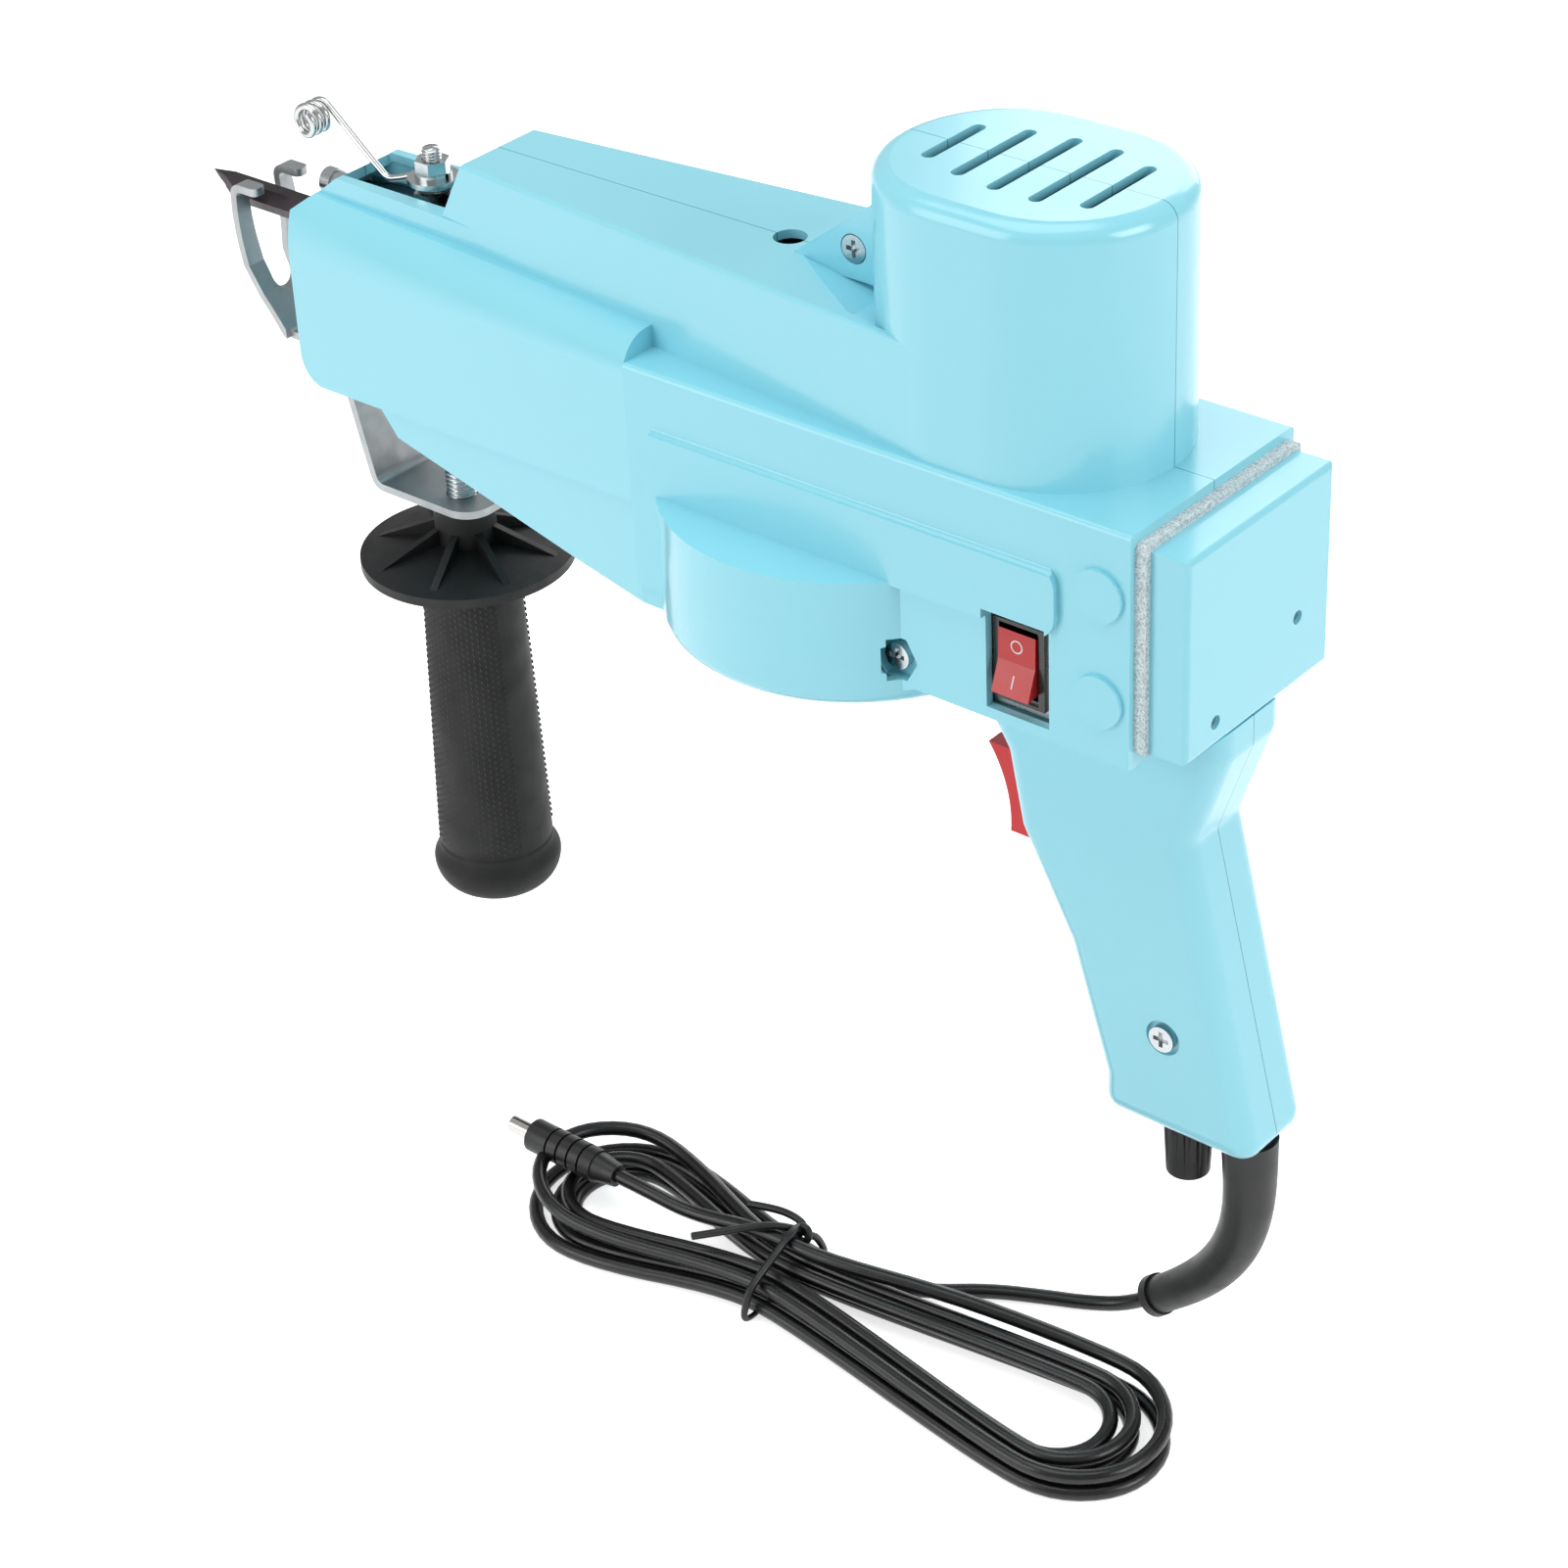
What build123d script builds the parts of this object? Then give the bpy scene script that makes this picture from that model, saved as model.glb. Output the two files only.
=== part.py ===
from build123d import *
from math import acos, asin, atan2, cos, degrees, pi, radians, sin, sqrt, tan
import os

# Handheld tufting machine, in millimetres.
# X runs from the needle to the rear cap, Y to the machine's right, Z up.
# The origin is the middle of the hand grip.

# Clearances and common sizes
wall = 2.6
overrun = 1.0
seat_gap = 0.3
run_gap = 0.05

# Nose of the body
nose_front_x = -308.9
nose_rear_x = -158.3
nose_front_half = 19.1
nose_front_bottom_z = 96.6
nose_rear_bottom_z = 110.1
nose_front_crease_z = 137.6
nose_rear_crease_z = 148.6
nose_front_top_half = 12.2
nose_wall_front_x = -303.6
nose_top_z = 165.7
nose_corner = 9.0
nose_brow_z = 152.5
nose_brow_x = -291.0
shoulder_z = 159.2
shoulder_step = 1.2
channel_front_x = -292.0
channel_rear_x = -249.7
channel_half = 9.9
channel_floor_z = 146.0

# Lower box and the raised tier on its sides
box_half = 36.9
box_top_z = 152.6
box_bottom_z = 83.6
box_rear_x = 11.0
box_edge = 1.6
tier_half = 39.0
tier_bottom_z = 114.8
tier_edge_z = 134.4
tier_top_z = 137.9
tier_front_x = -148.8
tier_rear_x = -11.3
tier_corner = 7.8

# Wedge-shaped top and motor dome
wedge_front_x = -233.2
wedge_front_half = 16.1
wedge_foot_x = -247.1
wedge_foot_z = 163.6
wedge_lip_x = -234.9
wedge_top_z = 184.4
wedge_edge = 1.2
dome_front_x = -53.9
dome_rear_x = -36.1
dome_radius = 34.8
dome_top_z = 225.7
dome_edge = 5.0
slot_pitch = 12.9
slot_count = 5
slot_width = 4.0
slot_length = 38.2
slot_length_shares = (0.65, 0.89, 1.0, 1.0, 0.79)
yarn_hole_x = -127.3
yarn_hole_radius = 4.75
ear_tip_x = -120.5
ear_top_z = 210.2
ear_half = 7.0
ear_recess_z = 179.2
ear_recess_floor_x = -90.0
ear_recess_inner_y = -5.0
ear_recess_rim = [
    (-118.0, -6.2),
    (-106.6, -14.2),
    (-85.8, -27.4),
    (-74.0, -30.2),
    (-60.0, -31.6),
]
ear_hole_x = -99.6
ear_hole_z = 190.6

# Gear housing and belly
housing_x = -106.1
housing_radius = 56.6
housing_bottom_z = 76.6
housing_top_z = 115.7
housing_edge = 5.0
belly_inset = 1.7
belly_front_x = -274.0
belly_lip_x = -266.2
belly_lip_z = 91.4
belly_mid_x = -182.7
belly_mid_z = 79.6

# Hand grip
grip_half = 15.0
grip_edge = 6.5
grip_neck_front_x = -66.0
grip_neck_z = 87.2
grip_throat_x = -47.0
grip_throat_z = 57.0
grip_front_x = -42.6
grip_front_z = 33.9
grip_waist_x = -25.8
grip_waist_z = 2.2
grip_toe_x = -13.6
grip_toe_z = -38.0
grip_bottom_z = -50.5
grip_heel_x = 37.6
grip_back_x = 14.4
grip_back_z = 47.9
grip_tail_x = 25.0
grip_tail_z = 78.3
grip_corner = 5.0

# Rear plate and cap
plate_thickness = 3.5
plate_half = 35.0
plate_bottom_z = 87.8
plate_top_z = 149.8
cap_length = 11.6
cap_half = 33.1
cap_bottom_z = 88.4
cap_top_z = 147.9
cap_edge = 1.5
cap_hole_radius = 2.0
cap_hole_y = -19.9
cap_hole_z = 95.4
cap_second_hole_y = 17.7
cap_second_hole_z = 108.8
cap_screw_radius = 1.5

# Side discs and screw places
disc_x = 1.4
disc_upper_z = 132.9
disc_lower_z = 101.6
disc_radius = 7.5
disc_height = 1.3
screw_radius = 2.0
screw_head_radius = 4.0
screw_head_height = 2.6
boss_radius = 5.5
housing_screw_inset = 2.0
housing_screw_z = 91.7
grip_screw_x = 7.8
grip_screw_z = -16.5
grip_recess_radius = 5.5
grip_recess_depth = 1.6
pocket_radius = 7.4
pocket_depth = 3.0

# Rocker switch
switch_front_x = -34.8
switch_rear_x = -14.4
switch_bottom_z = 87.0
switch_top_z = 117.8
switch_recess = 3.6
switch_rim = 1.8
switch_rim_height = 1.2
switch_depth = 15.0
bezel_front_x = -34.2
bezel_rear_x = -17.6
bezel_bottom_z = 89.6
bezel_top_z = 114.0
rocker_half = 6.0
rocker_half_height = 9.2
rocker_face = 3.2
rocker_rise = 4.8
rocker_back = 1.5
rocker_back_share = 0.75
rocker_tilt = 11.0
rocker_pivot_depth = 1.0

# Gear train
gear_tip_gap = 7.85
gear_teeth = 76
pinion_teeth = 20
gear_backlash = 0.22
tooth_root_share = 1.25
pressure_angle = 20.0
gear_bottom_z = 101.0
gear_width = 10.0
gear_hub_radius = 11.0
gear_hub_rise = 2.0
gear_window_radius = 11.0
gear_window_count = 5
gear_shaft_radius = 3.5
bearing_radius = 9.5
bearing_width = 6.0
lower_bearing_z = 80.2
bearing_boss_radius = 12.5
chassis_z = 118.0
chassis_thickness = 4.0
chassis_front_x = -157.0
chassis_rear_x = -14.0
crank_disc_radius = 19.0
crank_disc_z = 124.0
crank_disc_thickness = 6.0
crank_radius = 13.0
crank_pin_radius = 4.0
rod_bottom_z = 133.2
rod_thickness = 5.0
rod_gap = 0.4
rod_length = 75.0
rod_half = 4.0
rod_eye_radius = 7.5

# Motor
motor_radius = 21.0
motor_top_z = 199.0
motor_cap_height = 6.0
motor_boss_radius = 7.0
motor_boss_height = 4.0
motor_vent_radius = 3.0
motor_vent_count = 6
motor_shaft_radius = 2.5
motor_screw_circle = 15.0
motor_screw_radius = 1.5
motor_screw_head_radius = 2.8
pinion_bottom_z = 99.0
pinion_width = 14.0

# Needle drive
needle_z = 143.6
needle_tip_x = -360.2
needle_bevel_x = -347.0
needle_rear_x = -198.0
needle_radius = 4.3
needle_bore_radius = 1.9
needle_point_length = 15.0
bushing_radius = 7.0
bushing_length = 18.0
carriage_front_x = -206.0
carriage_rear_x = -182.0
carriage_half = 17.8
carriage_cheek_inner = 10.2
carriage_bottom_z = 124.6
carriage_bridge_z = 138.6
carriage_top_z = 150.0
wrist_pin_radius = 3.0
wrist_head_radius = 5.0
wrist_head_height = 1.5
guide_rod_radius = 3.0
guide_rod_y = 14.0
guide_rod_z = 128.7
guide_rod_front_x = -286.0
guide_post_x = -151.0
guide_post_thickness = 6.0
guide_post_top_z = 132.7

# Front block, yarn tube and presser foot
block_front_x = -297.0
block_rear_x = -253.0
block_bottom_z = 105.2
block_top_z = 153.0
yarn_tube_x = -321.0
yarn_tube_rear_x = -283.0
yarn_tube_y = 11.3
yarn_tube_z = 149.2
yarn_tube_radius = 3.6
yarn_tube_bore = 2.4
yarn_ring_radius = 4.2
yarn_ring_length = 4.0
foot_thickness = 2.5
foot_half = 12.2
foot_top_z = 150.5
foot_face_x = -339.6
foot_tab_x = -329.5
foot_knee_x = -337.6
foot_knee_z = 124.5
foot_shin_x = -333.4
foot_shin_z = 115.4
foot_toe_x = -325.0
foot_tail_z = 103.6
foot_tail_x = -281.0
foot_tail_half = 8.0
foot_slot_round_z = 119.6
foot_slot_round = 4.8
foot_inner_edge = [
    (5.4, 126.8),
    (6.3, 134.0),
    (6.6, 147.0),
]
foot_outer_edge = [
    (11.6, 147.0),
    (12.2, 138.0),
    (11.2, 123.0),
    (10.2, 113.6),
    (9.8, 104.4),
]
foot_tab_round = 2.0
foot_bend = 3.0
foot_slot_half = 2.2
foot_screw_x = -290.0
foot_travel = 5.0
foot_screw_radius = 2.0
foot_screw_head_radius = 4.0
foot_screw_head_height = 2.4

# Yarn guide and its stud
stud_x = -263.2
stud_radius = 3.0
stud_top_z = 177.7
stud_bottom_z = 150.6
stud_pad_half = 8.0
stud_pad_front_x = -272.0
stud_pad_rear_x = -254.0
stud_pad_top_z = 158.4
spacer_radius = 6.4
spacer_top_z = 164.4
flat_washer_radius = 7.9
flat_washer_thickness = 1.6
spring_washer_radius = 5.6
spring_washer_thickness = 1.6
spring_washer_slit = 1.2
nut_radius = 5.3
nut_height = 3.8
wire_diameter = 2.2
guide_bend_x = -282.8
guide_bend_z = 162.9
guide_bend_radius = 4.0
guide_coil_x = -307.6
guide_coil_z = 177.9
guide_coil_radius = 4.15
guide_coil_pitch = 2.85
guide_coil_turns = 3

# Side handle and its bracket
handle_x = -264.1
bracket_thickness = 2.5
bracket_half = 11.0
bracket_top_z = 119.0
bracket_leg_x = -298.5
bracket_knee_z = 93.0
bracket_bend_x = -290.6
bracket_foot_z = 62.6
bracket_bend = 4.0
bracket_window_half = 8.8
bracket_window_bottom_z = 100.6
bracket_window_top_z = 107.4
bracket_screw_y = 6.5
bracket_screw_z = 113.2
bracket_screw_radius = 1.7
bracket_screw_head_radius = 3.2
bracket_screw_head_height = 1.6
handle_stud_radius = 4.9
handle_stud_top_z = 112.0
handle_neck_radius = 9.6
handle_flange_z = 44.6
handle_flange_radius = 33.5
handle_flange_thickness = 3.0
handle_flange_cone = 4.0
handle_rib_count = 8
handle_rib_thickness = 2.4
handle_rib_height = 9.0
handle_core_radius = 12.0
handle_grip_top_z = 38.0
handle_grip_top_radius = 15.2
handle_grip_low_radius = 18.4
handle_grip_low_z = -62.0
handle_bulge_radius = 20.6
handle_bulge_z = -68.0
handle_bottom_z = -76.6
handle_stud_bottom_z = 20.0

# Trigger and speed control
trigger_top_z = 52.0
trigger_bottom_z = 25.0
trigger_front_x = -58.0
trigger_waist_x = -51.8
trigger_toe_x = -50.6
trigger_rear_x = -35.5
trigger_half = 6.0
trigger_travel = 5.0
trigger_rib_count = 5
trigger_rib_depth = 1.0
trigger_stem_radius = 3.0
trigger_stem_length = 8.0
trigger_gap = 0.4
trigger_switch_front_x = -29.6
trigger_switch_length = 26.0
knob_x = 7.0
knob_radius = 7.4
knob_low_radius = 6.4
knob_bottom_z = -71.5
knob_flute_count = 12
knob_flute_radius = 1.0
control_radius = 8.0
control_height = 9.0
control_shaft_radius = 3.0
control_shaft_reach = 12.0

# Boot, cord, hank, tie and plug
cord_diameter = 4.6
cord_floor_z = -139.2
boot_plug_radius = 6.9
boot_plug_height = 3.8
boot_collar_radius = 6.4
boot_collar_length = 3.0
boot_top_x = 27.7
boot_start_radius = 8.2
boot_end_radius = 5.6
boot_route = [
    (27.7, -50.8),
    (28.2, -66.0),
    (27.0, -84.0),
    (20.5, -100.0),
    (9.0, -114.0),
    (-4.0, -125.4),
]
lead_route = [
    (-4.0, 0.0, -125.4),
    (-12.45, 0.0, -132.81),
    (-25.0, -4.0, -136.2),
    (-38.0, -9.6, -136.4),
    (-53.0, -17.0, -136.6),
    (-66.0, -28.0, -136.2),
]
lead_last_run = 14.0
hank_y = -52.0
hank_left_x = -199.0
hank_right_x = 31.0
hank_lobe_half = 30.8
hank_lobe_step = 5.45
hank_waist_step = 5.7
hank_layer_step = 5.15
hank_top_step = 6.9
hank_start_nest = 2.75
hank_last_pass = 5
hank_nodes_per_loop = 8
tie_x = -104.0
tie_width = 3.2
tie_thickness = 1.3
tie_end_radius = 0.9
tie_end_length = 46.0
tie_end_spread = 9.0
tie_start_x = -94.0
tail_y = 4.0
tail_middle_x = -140.0
tail_end_x = -164.0
tail_plug_y = -2.0
plug_radius = 5.4
plug_length = 27.0
plug_neck_radius = 3.6
plug_neck_length = 8.0
plug_rib_count = 4
plug_rib_width = 1.6
plug_barrel_radius = 2.75
plug_barrel_length = 9.5
plug_barrel_bore = 1.1

# Sizes worked out from the ones above
gear_module = 2 * (housing_radius - gear_tip_gap) / (gear_teeth + 2)
motor_x = housing_x + gear_module * (gear_teeth + pinion_teeth) / 2
chassis_top_z = chassis_z + chassis_thickness
upper_bearing_z = chassis_top_z - bearing_width
crank_disc_top_z = crank_disc_z + crank_disc_thickness
crank_pin_top_z = rod_bottom_z - rod_gap
crank_x = housing_x - crank_radius
wrist_x = crank_x - rod_length
plate_rear_x = box_rear_x + plate_thickness
cap_rear_x = plate_rear_x + cap_length
cord_radius = cord_diameter / 2
wire_radius = wire_diameter / 2
housing_screw_x = housing_x + sqrt(housing_radius ** 2 - box_half ** 2) - housing_screw_inset
washer_z = spacer_top_z + wire_diameter + 2 * seat_gap
spring_washer_z = washer_z + flat_washer_thickness
nut_z = spring_washer_z + spring_washer_thickness
handle_top_z = bracket_foot_z - bracket_thickness / 2
cord_low_z = cord_floor_z + cord_radius


def nose_half(x):
    """Half width of the nose's side walls at x."""
    share = (x - nose_front_x) / (nose_rear_x - nose_front_x)
    return nose_front_half + share * (box_half - nose_front_half)


def wedge_half(x):
    """Half width of the wedge-shaped top at x."""
    share = (x - wedge_front_x) / (dome_front_x - wedge_front_x)
    return wedge_front_half + share * (dome_radius - wedge_front_half)


def nose_bottom(x):
    """Height of the nose's flat underside at x."""
    share = (x - nose_front_x) / (nose_rear_x - nose_front_x)
    return nose_front_bottom_z + share * (nose_rear_bottom_z - nose_front_bottom_z)


def round_bar(plane, centre, radius, length, mode=Mode.ADD):
    """A round bar, or with another mode a round hole, that stands on a plane."""
    with BuildSketch(plane) as section:
        with Locations(centre):
            Circle(radius)
    extrude(section.sketch, amount=length, mode=mode)


def hex_bar(plane, centre, radius, length, turn, mode=Mode.ADD):
    """A six-sided bar or hole that stands on a plane."""
    with BuildSketch(plane) as section:
        with Locations(centre):
            RegularPolygon(radius, side_count=6, rotation=turn)
    extrude(section.sketch, amount=length, mode=mode)


def slab(low, high, mode=Mode.ADD):
    """A block between two corners."""
    with BuildSketch(Plane.XY.offset(low[2])) as section:
        with Locations(((low[0] + high[0]) / 2, (low[1] + high[1]) / 2)):
            Rectangle(high[0] - low[0], high[1] - low[1])
    extrude(section.sketch, amount=high[2] - low[2], mode=mode)


def profile_solid(points, half, mode=Mode.ADD, corner=0, plane=Plane.XZ):
    """A closed outline, drawn to half its depth each side of its plane."""
    with BuildSketch(plane) as section:
        with BuildLine():
            Polyline(*points, close=True)
        make_face()
        if corner > 0:
            fillet(section.vertices(), radius=corner)
    extrude(section.sketch, amount=half, both=True, mode=mode)


# Body form, drawn in by the wall for the hollow

def nose_section(x, inset):
    """The nose's cross section at x: flat sides, a crease and a round shoulder."""
    share = (x - nose_front_x) / (nose_rear_x - nose_front_x)
    crease = nose_front_crease_z + share * (nose_rear_crease_z - nose_front_crease_z)
    top_half = nose_front_top_half + share * (wedge_half(nose_rear_x) - nose_front_top_half)
    side = nose_half(x) - inset
    shoulder = top_half + shoulder_step - inset
    with BuildSketch(Plane.YZ.offset(x)) as section:
        with BuildLine():
            Line((0, nose_bottom(x) + inset), (side, nose_bottom(x) + inset))
            Line((side, nose_bottom(x) + inset), (side, crease))
            TangentArc((side, crease), (shoulder, shoulder_z - inset), tangent=(0, 1))
            Line((shoulder, shoulder_z - inset), (0, shoulder_z - inset))
            mirror(about=Plane.YZ)
        make_face()
    return section.sketch


def nose_form(inset):
    """The tapered nose with its rounded shoulder and front corners."""
    with BuildPart() as form:
        loft([nose_section(nose_front_x + inset, inset), nose_section(nose_rear_x - inset, inset)])
        front = form.faces().sort_by(Axis.X)[0]
        fillet(front.edges().sort_by(Axis.Z)[0], radius=nose_corner - inset)
    return form.part


def wedge_form(inset):
    """The wedge-shaped top with its sloped front, and the narrow walls before it."""
    base_z = box_top_z - 2 * wall
    with BuildPart() as form:
        plan = [
            (wedge_foot_x, wedge_half(wedge_foot_x) - inset),
            (dome_front_x, dome_radius - inset),
            (dome_front_x, inset - dome_radius),
            (wedge_foot_x, inset - wedge_half(wedge_foot_x)),
        ]
        with BuildSketch(Plane.XY.offset(base_z)) as base:
            with BuildLine():
                Polyline(*plan, close=True)
            make_face()
        extrude(amount=wedge_top_z - inset - base_z)
        side = [
            (wedge_foot_x + inset, base_z - overrun),
            (wedge_foot_x + inset, wedge_foot_z - inset),
            (wedge_lip_x + inset, wedge_top_z + overrun),
            (dome_front_x, wedge_top_z + overrun),
            (dome_front_x, base_z - overrun),
        ]
        profile_solid(side, dome_radius, mode=Mode.INTERSECT)
        if inset == 0:
            long_edges = form.faces().sort_by(Axis.Z)[-1].edges().filter_by(Axis.Y, reverse=True)
            fillet(long_edges, radius=wedge_edge)
        walls = [
            (nose_wall_front_x + inset, nose_front_top_half - inset),
            (wedge_front_x, wedge_front_half - inset),
            (wedge_front_x, inset - wedge_front_half),
            (nose_wall_front_x + inset, inset - nose_front_top_half),
        ]
        with BuildSketch(Plane.XY.offset(base_z)) as lane:
            with BuildLine():
                Polyline(*walls, close=True)
            make_face()
        extrude(amount=nose_top_z - inset - base_z)
    return form.part


def box_form(inset):
    """The lower box, and the raised tier along its sides with a rounded rear end."""
    with BuildPart() as form:
        slab(
            (nose_rear_x - inset, inset - box_half, box_bottom_z + inset),
            (box_rear_x - inset, box_half - inset, box_top_z - inset),
        )
        if inset == 0:
            fillet(form.edges().filter_by(Axis.X).group_by(Axis.Z)[-1], radius=box_edge)
    with BuildPart() as tier:
        with BuildSketch(Plane.YZ.offset(tier_front_x + inset)):
            with BuildLine():
                Line((0, tier_bottom_z + inset), (tier_half - inset, tier_bottom_z + inset))
                Line((tier_half - inset, tier_bottom_z + inset), (tier_half - inset, tier_edge_z))
                TangentArc((tier_half - inset, tier_edge_z), (box_half - inset, tier_top_z), tangent=(-1, 0))
                Line((box_half - inset, tier_top_z), (0, tier_top_z))
                mirror(about=Plane.YZ)
            make_face()
        extrude(amount=tier_rear_x - tier_front_x - 2 * inset)
        with BuildSketch(Plane.XZ) as side:
            with Locations(((tier_front_x + tier_rear_x) / 2, (tier_bottom_z + tier_top_z) / 2)):
                Rectangle(tier_rear_x - tier_front_x - 2 * inset, tier_top_z - tier_bottom_z - 2 * inset)
            fillet(side.vertices().group_by(Axis.X)[-1], radius=tier_corner - inset)
        extrude(side.sketch, amount=tier_half, both=True, mode=Mode.INTERSECT)
    with BuildPart() as joined:
        add(form.part)
        add(tier.part)
    return joined.part


def housing_form(inset):
    """The round gear housing and the sloped belly before it."""
    with BuildPart() as form:
        round_bar(Plane.XY.offset(housing_bottom_z + inset), (housing_x, 0), housing_radius - inset,
                  housing_top_z - housing_bottom_z - 2 * inset)
        fillet(form.edges().sort_by(Axis.Z)[0], radius=housing_edge - inset)
        belly_side = [
            (belly_front_x + inset, nose_rear_bottom_z),
            (belly_front_x + inset, nose_bottom(belly_front_x)),
            (belly_lip_x + inset / 2, belly_lip_z + inset),
            (belly_mid_x, belly_mid_z + inset),
            (housing_x - housing_radius + housing_edge, housing_bottom_z + inset),
            (housing_x, housing_bottom_z + inset),
            (housing_x, nose_rear_bottom_z),
        ]
        belly_plan = [
            (belly_front_x, nose_half(belly_front_x) - belly_inset - inset),
            (nose_rear_x, box_half - belly_inset - inset),
            (housing_x, box_half - belly_inset - inset),
            (housing_x, inset + belly_inset - box_half),
            (nose_rear_x, inset + belly_inset - box_half),
            (belly_front_x, inset + belly_inset - nose_half(belly_front_x)),
        ]
    with BuildPart() as belly:
        with BuildSketch(Plane.XY.offset(housing_bottom_z)):
            with BuildLine():
                Polyline(*belly_plan, close=True)
            make_face()
        extrude(amount=nose_rear_bottom_z - housing_bottom_z)
        profile_solid(belly_side, box_half, mode=Mode.INTERSECT)
    with BuildPart() as joined:
        add(form.part)
        add(belly.part)
    return joined.part


def dome_form(inset):
    """The motor dome: a long round tower with a soft top edge."""
    base_z = box_top_z - 2 * wall
    with BuildPart() as form:
        with BuildSketch(Plane.XY.offset(base_z)):
            with Locations(((dome_front_x + dome_rear_x) / 2, 0)):
                SlotCenterToCenter(dome_rear_x - dome_front_x, 2 * (dome_radius - inset))
        extrude(amount=dome_top_z - inset - base_z)
        fillet(form.faces().sort_by(Axis.Z)[-1].edges(), radius=dome_edge - inset)
    return form.part


def grip_form(inset):
    """The hand grip with its flared neck."""
    outline = [
        (grip_neck_front_x, grip_neck_z),
        (grip_throat_x, grip_throat_z),
        (grip_front_x, grip_front_z),
        (grip_waist_x, grip_waist_z),
        (grip_toe_x, grip_toe_z),
        (grip_toe_x, grip_bottom_z),
        (grip_heel_x, grip_bottom_z),
        (grip_back_x, grip_back_z),
        (grip_tail_x, grip_tail_z),
        (grip_tail_x, grip_neck_z),
    ]
    with BuildPart() as form:
        with BuildSketch(Plane.XZ) as side:
            with BuildLine():
                Polyline(*outline, close=True)
            make_face()
            fillet(side.vertices().filter_by_position(Axis.Y, grip_bottom_z - overrun, grip_tail_z + overrun),
                   radius=grip_corner)
            if inset > 0:
                offset(amount=-inset, kind=Kind.INTERSECTION)
        extrude(side.sketch, amount=grip_half - inset, both=True)
        sides = form.faces().filter_by(Axis.Y)
        fillet(sides.edges(), radius=grip_edge - inset)
    return form.part


def cut_brow(inset):
    """Slope off the nose's top behind its front face."""
    rise = (nose_top_z - nose_brow_z) / (nose_brow_x - nose_front_x)
    drop = inset * sqrt(1 + rise ** 2)
    brow = [
        (nose_front_x - overrun, nose_brow_z - rise * overrun - drop),
        (nose_brow_x + (overrun + drop) / rise, nose_top_z + overrun),
        (nose_front_x - overrun, nose_top_z + overrun),
    ]
    profile_solid(brow, box_half, mode=Mode.SUBTRACT)


def ear_recess(inset):
    """The hollow beside the ear on the machine's left, its floor falling towards the dome."""
    front_x = ear_recess_rim[0][0] - inset
    rim = [(x - inset * (number == 0), y - inset) for number, (x, y) in enumerate(ear_recess_rim)]
    low_z = ear_recess_z - inset
    with BuildPart() as form:
        with BuildSketch(Plane.XY.offset(low_z)) as plan:
            with BuildLine():
                Polyline((front_x, ear_recess_inner_y + inset), *rim,
                         (rim[-1][0], ear_recess_inner_y + inset), close=True)
            make_face()
        extrude(plan.sketch, amount=wedge_top_z + overrun - low_z)
        floor_line = [
            (front_x, wedge_top_z + overrun),
            (front_x, wedge_top_z - inset),
            (ear_recess_floor_x, low_z),
            (dome_front_x, low_z),
            (dome_front_x, wedge_top_z + overrun),
        ]
        profile_solid(floor_line, box_half, mode=Mode.INTERSECT)
    return form.part


def body_form(inset):
    """The whole outer form of the body, drawn in by the inset."""
    with BuildPart() as form:
        add(box_form(inset))
        add(nose_form(inset))
        add(wedge_form(inset))
        cut_brow(inset)
        add(ear_recess(inset), mode=Mode.SUBTRACT)
        add(dome_form(inset))
        add(housing_form(inset))
        add(grip_form(inset))
    return form.part


# Body shells

def cross_bar(low_y, high_y, centre, radius, mode=Mode.ADD):
    """A round bar or hole across the machine, between two values of Y."""
    round_bar(Plane.XZ.offset(-high_y), centre, radius, high_y - low_y, mode)


def shell_features():
    """Bosses, bearing seat, ear and side discs that stand on the shells."""
    ear_outline = [
        (ear_tip_x, wedge_top_z - wall),
        (ear_tip_x, wedge_top_z),
        (dome_front_x - dome_radius + wall, ear_top_z),
        (dome_front_x - dome_radius + wall, wedge_top_z - wall),
    ]
    profile_solid(ear_outline, ear_half)
    round_bar(Plane.XY.offset(housing_bottom_z + wall - overrun), (housing_x, 0), bearing_boss_radius,
              lower_bearing_z + bearing_width - housing_bottom_z - wall + overrun)
    for z in (disc_upper_z, disc_lower_z):
        for low_y in (-box_half - disc_height, box_half - wall):
            cross_bar(low_y, low_y + disc_height + wall, (disc_x, z), disc_radius)
    inner_half = box_half - wall / 2
    cross_bar(-inner_half, inner_half, (housing_screw_x, housing_screw_z), boss_radius)
    cross_bar(-box_half, wall + pocket_depth - box_half, (housing_screw_x, housing_screw_z),
              pocket_radius + wall)
    grip_inner = grip_half - wall / 2
    cross_bar(-grip_inner, grip_inner, (grip_screw_x, grip_screw_z), boss_radius)


def screw_hole(x, z, head_y, end_y):
    """A hole for a screw across the machine, with room for its head."""
    cross_bar(head_y - overrun, end_y, (x, z), screw_radius + run_gap, mode=Mode.SUBTRACT)
    cross_bar(-tier_half - 2 * overrun, head_y, (x, z), screw_head_radius + seat_gap, mode=Mode.SUBTRACT)


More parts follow.
